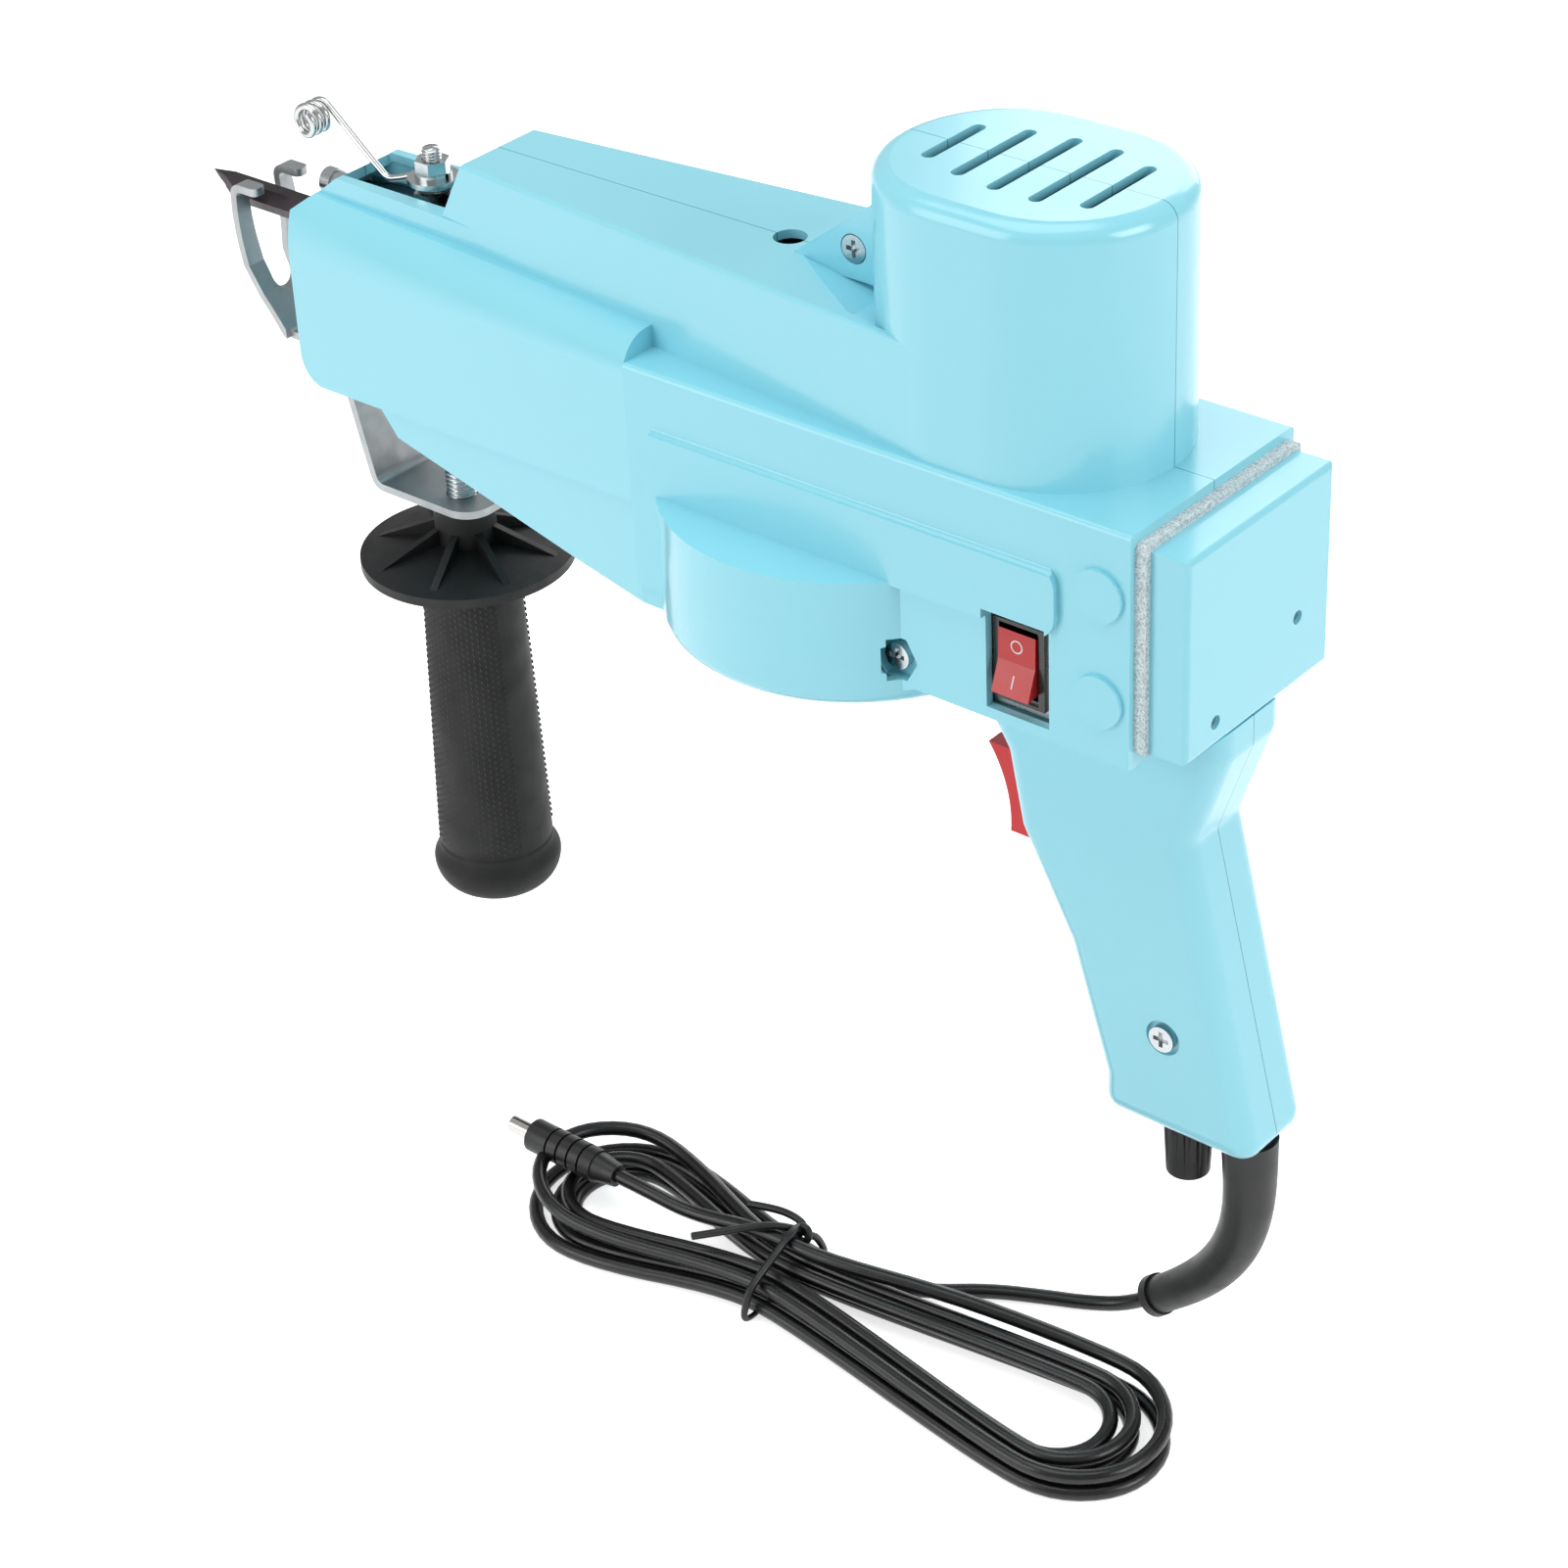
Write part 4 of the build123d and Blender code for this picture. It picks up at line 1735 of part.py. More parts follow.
with BuildPart() as cord_plug:
    plug_x = tail_end_x - cord_diameter
    plug_plane = Plane(origin=(plug_x, hank_y + tail_plug_y, plug_z), x_dir=(0, 1, 0), z_dir=(-1, 0, 0))
    with BuildSketch(plug_plane) as neck_start:
        Circle(plug_neck_radius)
    with BuildSketch(plug_plane.offset(plug_neck_length)) as neck_end:
        Circle(plug_radius - plug_barrel_bore / 2)
    loft([neck_start.sketch, neck_end.sketch])
    round_bar(plug_plane.offset(plug_neck_length), (0, 0), plug_radius, plug_length)
    rib_pitch = plug_length / (plug_rib_count + 2)
    for number in range(plug_rib_count):
        groove = plug_plane.offset(plug_neck_length + (number + 1) * rib_pitch)
        round_bar(groove, (0, 0), plug_radius + overrun, plug_rib_width / 2, mode=Mode.SUBTRACT)
        round_bar(groove, (0, 0), plug_radius - plug_rib_width / 2, plug_rib_width / 2)
keep(cord_plug, "cord_plug")

with BuildPart() as plug_barrel:
    barrel_plane = plug_plane.offset(plug_neck_length + plug_length)
    round_bar(barrel_plane, (0, 0), plug_barrel_radius, plug_barrel_length)
    round_bar(barrel_plane.offset(overrun), (0, 0), plug_barrel_bore, plug_barrel_length, mode=Mode.SUBTRACT)
keep(plug_barrel, "plug_barrel")
print("cord length", round(lead_line.length + hank_line.length + boot_line.length, 1))
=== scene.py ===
"""Dresses the handheld tufting machine: finishes, threads, knurl, cord, switch marks and the studio."""

import logging
import math
from collections.abc import Sequence
from dataclasses import dataclass, field
from enum import Enum

import bmesh
import bpy
from mathutils import Matrix, Vector


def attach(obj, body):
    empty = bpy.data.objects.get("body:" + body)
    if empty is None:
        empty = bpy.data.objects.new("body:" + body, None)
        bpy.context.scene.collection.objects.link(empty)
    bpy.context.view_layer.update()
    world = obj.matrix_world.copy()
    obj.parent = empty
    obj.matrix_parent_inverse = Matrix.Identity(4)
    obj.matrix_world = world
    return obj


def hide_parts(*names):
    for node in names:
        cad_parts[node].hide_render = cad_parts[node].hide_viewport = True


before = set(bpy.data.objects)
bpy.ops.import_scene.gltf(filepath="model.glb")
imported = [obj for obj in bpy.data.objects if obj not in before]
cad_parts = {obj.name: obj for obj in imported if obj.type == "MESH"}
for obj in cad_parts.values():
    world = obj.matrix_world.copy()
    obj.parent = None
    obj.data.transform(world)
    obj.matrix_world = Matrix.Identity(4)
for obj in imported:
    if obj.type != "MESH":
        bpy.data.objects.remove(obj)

log = logging.getLogger("tufting_machine")

# Metres in a millimetre.
MM = 0.001
# Points closer than this, in metres, are one point.
WELD = 1e-7
WHITE = (1.0, 1.0, 1.0, 1.0)
# The X of the side handle's axis, which its stud shares, in millimetres.
HANDLE_X = -264.1
Point = tuple[float, float, float]


def mm(*values: float) -> tuple[float, ...]:
    """Millimetres turned to metres."""
    return tuple(value * MM for value in values)


def hex_linear(code: str) -> tuple[float, float, float, float]:
    """Turns an sRGB hex colour to linear values.

    Args:
        code: The colour as "#RRGGBB".

    Returns:
        Red, green, blue and an alpha of one.
    """
    parts = [int(code[place:place + 2], 16) / 255 for place in (1, 3, 5)]
    linear = [part / 12.92 if part <= 0.04045 else ((part + 0.055) / 1.055) ** 2.4 for part in parts]
    return (linear[0], linear[1], linear[2], 1.0)


def add_node(tree: bpy.types.NodeTree, kind: str, inputs: dict[str | int, object] | None = None,
             **settings: object) -> bpy.types.Node:
    """Adds a node with its settings and what its inputs take.

    Args:
        tree: The node tree that takes the node.
        kind: The node's type name.
        inputs: A socket, a node whose first output is meant, or a plain value, by input name or number.
        settings: The node's own settings.

    Returns:
        The new node.
    """
    node = tree.nodes.new(kind)
    for name, value in settings.items():
        setattr(node, name, value)
    for key, source in (inputs or {}).items():
        if isinstance(source, bpy.types.Node):
            source = source.outputs[0]
        if isinstance(source, bpy.types.NodeSocket):
            tree.links.new(source, node.inputs[key])
        else:
            node.inputs[key].default_value = source
    return node


# Finishes


@dataclass(frozen=True)
class Finish:
    """What a surface is made of, with typical values for that material.

    Two tones drift into each other over patch_mm, and the shine drifts over a share of that. A fine
    grain of grain_mm stands grain_bump millimetres high. It is drawn coarser than the real one where
    that would be too fine to show.
    """

    name: str
    colour: str
    second_colour: str
    roughness: float
    metallic: float = 0.0
    ior: float = 1.5
    coat: float = 0.0
    coat_roughness: float = 0.1
    patch_mm: float = 20.0
    patch_detail: float = 3.0
    patch_fade: float = 0.55
    grain_mm: float = 0.6
    grain_bump: float = 0.05
    grain_detail: float = 2.0
    grain_fade: float = 0.5
    roughness_spread: float = 0.06
    smear_share: float = 0.5
    smear_detail: float = 4.0
    smear_fade: float = 0.6
    smear_range: tuple[float, float] = (0.3, 0.7)
    least_roughness: float = 0.02

    def coordinates(self, tree: bpy.types.NodeTree) -> bpy.types.NodeSocket:
        """Object coordinates, in metres."""
        return add_node(tree, "ShaderNodeTexCoord").outputs["Object"]

    def shade(self, tree: bpy.types.NodeTree, place: bpy.types.NodeSocket) -> bpy.types.NodeSocket:
        """The surface's colour, with the slow drift between its two tones.

        Args:
            tree: The material's node tree.
            place: Object coordinates.

        Returns:
            The colour socket.
        """
        patches = add_node(tree, "ShaderNodeTexNoise", {
            "Vector": place, "Scale": 1 / (self.patch_mm * MM), "Detail": self.patch_detail,
            "Roughness": self.patch_fade})
        tones = add_node(tree, "ShaderNodeMix", {
            "Factor": patches.outputs["Fac"], "A": hex_linear(self.colour),
            "B": hex_linear(self.second_colour)}, data_type="RGBA")
        return tones.outputs["Result"]

    def relief(self, tree: bpy.types.NodeTree, place: bpy.types.NodeSocket) -> bpy.types.NodeSocket:
        """The height of the fine grain.

        Args:
            tree: The material's node tree.
            place: Object coordinates.

        Returns:
            The height socket.
        """
        grain = add_node(tree, "ShaderNodeTexNoise", {
            "Vector": place, "Scale": 1 / (self.grain_mm * MM), "Detail": self.grain_detail,
            "Roughness": self.grain_fade})
        return grain.outputs["Fac"]

    def polish(self, tree: bpy.types.NodeTree, place: bpy.types.NodeSocket) -> bpy.types.NodeSocket:
        """Roughness that drifts about its mean, as a handled surface has.

        Args:
            tree: The material's node tree.
            place: Object coordinates.

        Returns:
            The roughness socket.
        """
        smear = add_node(tree, "ShaderNodeTexNoise", {
            "Vector": place, "Scale": 1 / (self.patch_mm * MM * self.smear_share),
            "Detail": self.smear_detail, "Roughness": self.smear_fade})
        low, high = self.smear_range
        spread = add_node(tree, "ShaderNodeMapRange", {
            "Value": smear.outputs["Fac"], "From Min": low, "From Max": high,
            "To Min": max(self.least_roughness, self.roughness - self.roughness_spread),
            "To Max": min(1.0, self.roughness + self.roughness_spread)})
        return spread.outputs["Result"]

    def build(self) -> bpy.types.Material:
        """Makes the material.

        Returns:
            The new material.
        """
        material = bpy.data.materials.new(self.name)
        material.use_nodes = True
        tree = material.node_tree
        shader = tree.nodes["Principled BSDF"]
        place = self.coordinates(tree)
        tree.links.new(self.shade(tree, place), shader.inputs["Base Color"])
        tree.links.new(self.polish(tree, place), shader.inputs["Roughness"])
        bump = add_node(tree, "ShaderNodeBump", {
            "Height": self.relief(tree, place), "Strength": 1.0, "Distance": self.grain_bump * MM})
        tree.links.new(bump.outputs["Normal"], shader.inputs["Normal"])
        shader.inputs["Metallic"].default_value = self.metallic
        shader.inputs["IOR"].default_value = self.ior
        shader.inputs["Coat Weight"].default_value = self.coat
        shader.inputs["Coat Roughness"].default_value = self.coat_roughness
        return material


@dataclass(frozen=True)
class SeamedAbs(Finish):
    """Glossy moulded ABS in two halves: a hair-thin dark line shows where they meet, at Y = 0."""

    seam_mm: float = 0.16
    seam_colour: str = "#3F8FA3"

    def shade(self, tree: bpy.types.NodeTree, place: bpy.types.NodeSocket) -> bpy.types.NodeSocket:
        """The moulded colour, darker on the line between the halves.

        Args:
            tree: The material's node tree.
            place: Object coordinates.

        Returns:
            The colour socket.
        """
        plain = super().shade(tree, place)
        axes = add_node(tree, "ShaderNodeSeparateXYZ", {"Vector": place})
        away = add_node(tree, "ShaderNodeMath", {0: axes.outputs["Y"]}, operation="ABSOLUTE")
        on_line = add_node(tree, "ShaderNodeMath", {0: away, 1: self.seam_mm * MM}, operation="LESS_THAN")
        lined = add_node(tree, "ShaderNodeMix", {
            "Factor": on_line, "A": plain, "B": hex_linear(self.seam_colour)}, data_type="RGBA")
        return lined.outputs["Result"]


@dataclass(frozen=True)
class BrushedSteel(Finish):
    """Steel drawn or ground one way: fine lines run across the piece."""

    stretch: Point = (1.0, 12.0, 12.0)
    line_grains: float = 12.0
    line_detail: float = 3.0
    line_fade: float = 0.6

    def relief(self, tree: bpy.types.NodeTree, place: bpy.types.NodeSocket) -> bpy.types.NodeSocket:
        """Long fine scratches, each many grains long.

        Args:
            tree: The material's node tree.
            place: Object coordinates.

        Returns:
            The height socket.
        """
        along = add_node(tree, "ShaderNodeMapping", {"Vector": place, "Scale": self.stretch})
        lines = add_node(tree, "ShaderNodeTexNoise", {
            "Vector": along, "Scale": 1 / (self.grain_mm * MM * self.line_grains),
            "Detail": self.line_detail, "Roughness": self.line_fade})
        return lines.outputs["Fac"]


@dataclass(frozen=True)
class ZincPlate(Finish):
    """Bright zinc on steel: cloudy tone, slightly mottled gloss, dull scuffs."""

    scuff_colour: str = "#8F9496"
    scuff_mm: float = 2.5
    scuff_detail: float = 6.0
    scuff_fade: float = 0.7
    scuff_range: tuple[float, float] = (0.56, 0.72)
    scuff_most: float = 0.25

    def shade(self, tree: bpy.types.NodeTree, place: bpy.types.NodeSocket) -> bpy.types.NodeSocket:
        """Cloudy plating with duller scuffed spots.

        Args:
            tree: The material's node tree.
            place: Object coordinates.

        Returns:
            The colour socket.
        """
        plain = super().shade(tree, place)
        scuffs = add_node(tree, "ShaderNodeTexNoise", {
            "Vector": place, "Scale": 1 / (self.scuff_mm * MM), "Detail": self.scuff_detail,
            "Roughness": self.scuff_fade})
        low, high = self.scuff_range
        amount = add_node(tree, "ShaderNodeMapRange", {
            "Value": scuffs.outputs["Fac"], "From Min": low, "From Max": high,
            "To Min": 0.0, "To Max": self.scuff_most})
        worn = add_node(tree, "ShaderNodeMix", {
            "Factor": amount, "A": plain, "B": hex_linear(self.scuff_colour)}, data_type="RGBA")
        return worn.outputs["Result"]


@dataclass(frozen=True)
class SpeckledSheet(Finish):
    """Pressed grey fibre sheet, full of pale and dark grains."""

    speck_mm: float = 0.45
    pale: str = "#E2E9EA"
    dark: str = "#A6B0B2"

    def shade(self, tree: bpy.types.NodeTree, place: bpy.types.NodeSocket) -> bpy.types.NodeSocket:
        """Grains of three tones, the plain one between a dark and a pale one.

        Args:
            tree: The material's node tree.
            place: Object coordinates.

        Returns:
            The colour socket.
        """
        grains = add_node(tree, "ShaderNodeTexVoronoi", {
            "Vector": place, "Scale": 1 / (self.speck_mm * MM), "Randomness": 1.0})
        tones = add_node(tree, "ShaderNodeSeparateColor", {"Color": grains.outputs["Color"]})
        ramp = add_node(tree, "ShaderNodeValToRGB", {"Fac": tones.outputs["Red"]})
        ramp.color_ramp.elements[0].color = hex_linear(self.dark)
        ramp.color_ramp.elements[1].color = hex_linear(self.pale)
        middle = ramp.color_ramp.elements.new(0.5)
        middle.color = hex_linear(self.colour)
        return ramp.outputs["Color"]


@dataclass(frozen=True)
class CordJacket(Finish):
    """Soft PVC jacket: satin, with a faint grain and slight waves along the cord."""

    wave_mm: float = 9.0
    wave_gain: float = 4.0
    wave_detail: float = 1.0

    def relief(self, tree: bpy.types.NodeTree, place: bpy.types.NodeSocket) -> bpy.types.NodeSocket:
        """Fine grain over slow waves.

        Args:
            tree: The material's node tree.
            place: Object coordinates.

        Returns:
            The height socket.
        """
        fine = super().relief(tree, place)
        slow = add_node(tree, "ShaderNodeTexNoise", {
            "Vector": place, "Scale": 1 / (self.wave_mm * MM), "Detail": self.wave_detail})
        waves = add_node(tree, "ShaderNodeMath", {0: slow.outputs["Fac"], 1: self.wave_gain},
                         operation="MULTIPLY")
        both = add_node(tree, "ShaderNodeMath", {0: fine, 1: waves}, operation="ADD")
        return both.outputs["Value"]


class Look(Enum):
    """Every finish on the machine, named for what the real one is."""

    # Injection-moulded ABS: a clear, even cyan with soft wide highlights and a faint waviness in them.
    CYAN_ABS = SeamedAbs("CyanABS", "#8DD9E9", "#93DCEB", 0.22, ior=1.54, coat=0.25, coat_roughness=0.08,
                         patch_mm=60, grain_mm=3.2, grain_bump=0.012, roughness_spread=0.04)
    # The same ABS in one moulding: no parting line, so the cap reads as a separate lid.
    CAP_ABS = Finish("CapABS", "#8DD9E9", "#93DCEB", 0.22, ior=1.54, coat=0.25, coat_roughness=0.08,
                     patch_mm=60, grain_mm=3.2, grain_bump=0.012, roughness_spread=0.04)
    # Pressed fibre sheet: a pale silver-grey edge, busy with fine light and dark grains, no shine.
    FIBRE_SHEET = SpeckledSheet("PressedFibreSheet", "#CBD6D8", "#D3DCDD", 0.62, grain_mm=0.5,
                                 grain_bump=0.05)
    # Zinc plate on turned steel: bright, slightly cloudy, with a cool tone in the reflections.
    ZINC = ZincPlate("ZincPlatedSteel", "#C9CDCE", "#AEB4B6", 0.24, metallic=1.0, patch_mm=9, grain_mm=0.8,
                     grain_bump=0.01, roughness_spread=0.08)
    # Zinc plate on bent sheet: duller and more mottled, so wide faces look soft grey, not mirrored.
    SHEET_ZINC = ZincPlate("ZincPlatedSheet", "#B0B4B5", "#9EA2A4", 0.42, metallic=1.0, patch_mm=10,
                           grain_mm=0.9, grain_bump=0.015, roughness_spread=0.08)
    # Drawn spring wire: a narrow bright line follows each bend of the coil.
    WIRE = BrushedSteel("DrawnSpringWire", "#CDCFCE", "#B9BCBC", 0.2, metallic=1.0, patch_mm=12,
                        grain_mm=0.3, grain_bump=0.006)
    # Oil-blackened tool steel: the needle is dark charcoal with a low, lengthwise sheen.
    BURNISHED = BrushedSteel("BurnishedToolSteel", "#4A4447", "#3A3538", 0.44, metallic=1.0, patch_mm=14,
                             grain_mm=0.5, grain_bump=0.012, stretch=(0.6, 14.0, 14.0))
    # Ground steel: plain silver with fine lines, as on shafts and pins.
    GROUND_STEEL = BrushedSteel("GroundSteel", "#B5B6B5", "#A0A2A2", 0.28, metallic=1.0, patch_mm=10,
                                grain_mm=0.3, grain_bump=0.008)
    # Milled aluminium: paler and softer than steel, with cutter marks that scatter the light.
    ALUMINIUM = BrushedSteel("MilledAluminium", "#B9BCBF", "#A7ABAF", 0.4, metallic=1.0, patch_mm=16,
                             grain_mm=0.5, grain_bump=0.015)
    # Sintered bronze: a warm matt ring round the needle.
    BRONZE = Finish("SinteredBronze", "#A9824A", "#8E6B3A", 0.42, metallic=1.0, patch_mm=4, grain_mm=0.4,
                    grain_bump=0.02)
    # Natural nylon: off-white and waxy, with a broad soft highlight.
    NYLON = Finish("OffWhiteNylon", "#DDDACD", "#D2CEBE", 0.48, ior=1.53, patch_mm=18, grain_mm=0.7,
                   grain_bump=0.01)
    # Glass-filled nylon: near black with a fine grain that greys its highlights.
    HANDLE_NYLON = Finish("BlackGlassFilledNylon", "#0A0A0B", "#101011", 0.5, ior=1.45, patch_mm=22,
                          grain_mm=0.9, grain_bump=0.03, roughness_spread=0.1)
    # Soft moulded PVC: dark and satin, the light spreads along the grip in one broad band.
    SLEEVE = Finish("BlackSoftSleeve", "#0A0A0B", "#101011", 0.64, ior=1.45, patch_mm=26, grain_mm=0.5,
                    grain_bump=0.03, roughness_spread=0.08)
    # The sleeve's raised pads: a little lighter than their ground, which is a painted highlight on the pad
    # tops, and shinier, as pads rubbed smooth by the hand are.
    SLEEVE_PAD = Finish("SleevePadsPaintedHighlight", "#19191A", "#202021", 0.42, ior=1.45, patch_mm=14, grain_mm=0.5,
                        grain_bump=0.01, roughness_spread=0.06)
    # Polished black polycarbonate: deep black with crisp small highlights on the switch frame.
    BLACK_GLOSS = Finish("BlackPolycarbonate", "#101011", "#171718", 0.25, ior=1.58, patch_mm=12,
                         grain_mm=0.8, grain_bump=0.006)
    # Red polycarbonate under a clear skin: saturated, with a sharp highlight on each rocker face.
    RED = Finish("RedPolycarbonate", "#BF0A0F", "#B4070C", 0.24, ior=1.5, coat=0.1, coat_roughness=0.1,
                 patch_mm=14, grain_mm=1.2, grain_bump=0.006)
    # Red moulded ABS: brighter than the rocker and a little softer in its shine.
    TRIGGER_RED = Finish("RedMouldedAbs", "#D81219", "#CC0E14", 0.36, ior=1.5, patch_mm=14, grain_mm=1.0,
                         grain_bump=0.012)
    # White pad print: flat, opaque ink that takes no gloss from the rocker.
    MARK_WHITE = Finish("WhitePadPrint", "#F1F1EE", "#E8E8E4", 0.5, patch_mm=3, grain_mm=0.4,
                        grain_bump=0.01)
    # Soft PVC jacket: black with a satin line of light along every turn of the cord.
    JACKET = CordJacket("BlackPvcJacket", "#0B0B0C", "#111112", 0.3, ior=1.5, patch_mm=16, grain_mm=0.5,
                        grain_bump=0.02, roughness_spread=0.08)
    # Moulded boot rubber: a shade greyer and duller than the cord that leaves it.
    BOOT_RUBBER = Finish("BlackBootRubber", "#101011", "#171718", 0.42, ior=1.5, patch_mm=16, grain_mm=0.7,
                         grain_bump=0.03, roughness_spread=0.08)
    # Satin-nickel trim: a thin light rim round the black switch.
    BRIGHT_EDGE = Finish("BrightTrim", "#BFC1C2", "#A9ACAE", 0.3, metallic=1.0, patch_mm=8, grain_mm=0.5,
                         grain_bump=0.01)
    # Bright nickel: the plug's barrel mirrors the white room.
    CHROME = Finish("NickelPlatedBarrel", "#D5D4D0", "#C5C3BE", 0.14, metallic=1.0, patch_mm=6, grain_mm=0.6,
                    grain_bump=0.004)
    # Drawn steel can: satin grey with draw lines that run up its side.
    MOTOR_CAN = BrushedSteel("DrawnMotorCan", "#A6A8A8", "#8F9292", 0.36, metallic=1.0, patch_mm=14,
                             grain_mm=0.5, grain_bump=0.015, stretch=(12.0, 12.0, 1.0))


class Finishes:
    """Makes each material once and hands it out."""

    def __init__(self) -> None:
        """Starts with no material made."""
        self.made: dict[Look, bpy.types.Material] = {}

    def get(self, look: Look) -> bpy.types.Material:
        """The material for a look.

        Args:
            look: The finish.

        Returns:
            Its material, made at the first call.
        """
        if look not in self.made:
            self.made[look] = look.value.build()
        return self.made[look]

    def dress(self, piece: bpy.types.Object, look: Look) -> None:
        """Gives a piece one material on all its faces.

        Args:
            piece: A mesh or curve.
            look: The finish.
        """
        piece.data.materials.clear()
        piece.data.materials.append(self.get(look))


# Mesh helpers


def add_object(name: str, data: bpy.types.ID) -> bpy.types.Object:
    """Puts new data in the scene, as an object at the origin.

    Args:
        name: The object's name.
        data: Its mesh, curve, lamp or camera.

    Returns:
        The new object.
    """
    thing = bpy.data.objects.new(name, data)
    bpy.context.scene.collection.objects.link(thing)
    return thing


def weld(mesh: bpy.types.Mesh) -> None:
    """Merges a mesh's doubles and turns its faces outwards.

    Args:
        mesh: The mesh, changed in place.
    """
    shape = bmesh.new()
    shape.from_mesh(mesh)
    bmesh.ops.remove_doubles(shape, verts=shape.verts, dist=WELD)
    bmesh.ops.recalc_face_normals(shape, faces=shape.faces)
    shape.to_mesh(mesh)
    shape.free()


def plain_mesh(piece: bpy.types.Object) -> bpy.types.Mesh:
    """The mesh that a piece's curve or modifiers make.

    Args:
        piece: The curve, or the mesh with its modifiers.

    Returns:
        A new mesh.
    """
    graph = bpy.context.evaluated_depsgraph_get()
    return bpy.data.meshes.new_from_object(piece.evaluated_get(graph))


def make_piece(name: str, points: Sequence[Sequence[float]], faces: Sequence[Sequence[int]],
               smooth: bool = True) -> bpy.types.Object:
    """A mesh piece in the shared frame, its points given in millimetres.

    Args:
        name: The piece's name.
        points: Its points.
        faces: Its faces, as point numbers.
        smooth: Whether its faces are shaded smooth.

    Returns:
        The new object.
    """
    mesh = bpy.data.meshes.new(name)
    mesh.from_pydata([mm(*point) for point in points], [], faces)
    mesh.validate()
    weld(mesh)
    for face in mesh.polygons:
        face.use_smooth = smooth
    return add_object(name, mesh)


def lathe(name: str, axis_x: float, axis_y: float, profile: Sequence[tuple[float, float]],
          sides: int) -> bpy.types.Object:
    """A turned piece on a vertical axis.

    Args:
        name: The piece's name.
        axis_x: The axis's X, in millimetres.
        axis_y: The axis's Y, in millimetres.
        profile: Radius and Z of each ring, in millimetres; a radius of zero closes the end.
        sides: Points in each ring.

    Returns:
        The new object.
    """
    points: list[Point] = []
    for radius, z in profile:
        for side in range(sides):
            angle = math.tau * side / sides
            points.append((axis_x + radius * math.cos(angle), axis_y + radius * math.sin(angle), z))
    faces = []
    for ring in range(len(profile) - 1):
        for side in range(sides):
            after = (side + 1) % sides
            low, high = ring * sides, (ring + 1) * sides
            faces.append((low + side, low + after, high + after, high + side))
    return make_piece(name, points, faces)


def curve_piece(name: str, points: Sequence[Point], radius: float, resolution: int,
                bevel: int) -> bpy.types.Object:
    """A round tube on one open NURBS spline, with its points in millimetres.

    Args:
        name: The piece's name.
        points: The spline's control points.
        radius: The tube's radius.
        resolution: Steps between control points.
        bevel: The bevel's resolution.

    Returns:
        The curve object.
    """
    data = bpy.data.curves.new(name, "CURVE")
    data.dimensions = "3D"
    spline = data.splines.new("NURBS")
    spline.points.add(len(points) - 1)
    for place, point in zip(spline.points, points):
        place.co = (*mm(*point), 1.0)
    spline.order_u = 3
    spline.use_endpoint_u = True
    spline.resolution_u = resolution
    data.resolution_u = resolution
    data.bevel_depth = radius * MM
    data.bevel_resolution = bevel
    data.use_fill_caps = True
    return add_object(name, data)


def curve_to_mesh(piece: bpy.types.Object) -> bpy.types.Object:
    """Turns a curve into a plain smooth mesh of the same name.

    Args:
        piece: The curve object, which is removed.

    Returns:
        The mesh object.
    """
    mesh = plain_mesh(piece)
    name = piece.name
    bpy.data.objects.remove(piece)
    mesh.name = name
    for face in mesh.polygons:
        face.use_smooth = True
    return add_object(name, mesh)


# Geometry Nodes


class NodePattern:
    """A Geometry Nodes tree with named inputs, used once and turned into a plain mesh."""

    def __init__(self, name: str) -> None:
        """Starts an empty tree.

        Args:
            name: The tree's name.
        """
        self.tree = bpy.data.node_groups.new(name, "GeometryNodeTree")
        self.tree.interface.new_socket("Geometry", in_out="OUTPUT", socket_type="NodeSocketGeometry")
        self.inputs = self.tree.nodes.new("NodeGroupInput")
        self.identifiers: dict[str, str] = {}

    def number(self, name: str, value: float) -> bpy.types.NodeSocket:
        """Adds a named size and gives its socket.

        Args:
            name: The input's name.
            value: Its value, in metres or as a plain number.

        Returns:
            The socket inside the tree.
        """
        kind = "NodeSocketInt" if isinstance(value, int) else "NodeSocketFloat"
        socket = self.tree.interface.new_socket(name, in_out="INPUT", socket_type=kind)
        socket.default_value = value
        self.identifiers[name] = socket.identifier
        return self.inputs.outputs[name]

    def add(self, kind: str, inputs: dict[str | int, object] | None = None,
            **settings: object) -> bpy.types.Node:
        """Adds a node to the tree, with what its inputs take and its own settings."""
        return add_node(self.tree, kind, inputs, **settings)

    def finish(self, shape: bpy.types.Node, name: str, values: dict[str, float],
               material: bpy.types.Material) -> bpy.types.Object:
        """Ends the tree, runs it once and keeps the plain mesh.

        Args:
            shape: The node whose first output is the finished geometry.
            name: The piece's name.
            values: Sizes by input name.
            material: The material set on the result.

        Returns:
            The finished piece.
        """
        real = self.add("GeometryNodeRealizeInstances", {"Geometry": shape})
        painted = self.add("GeometryNodeSetMaterial", {"Geometry": real, "Material": material})
        self.add("NodeGroupOutput", {"Geometry": painted})
        holder = add_object(name + "_holder", bpy.data.meshes.new(name + "_holder"))
        modifier = holder.modifiers.new("pattern", "NODES")
        modifier.node_group = self.tree
        for key, value in values.items():
            modifier[self.identifiers[key]] = value
        bpy.context.view_layer.update()
        mesh = plain_mesh(holder)
        holder.modifiers.remove(modifier)
        bpy.data.objects.remove(holder)
        mesh.name = name
        # The pattern's own material comes after the holder's empty slot, which isn't needed.
        mesh.materials.pop(index=0)
        weld(mesh)
        return add_object(name, mesh)


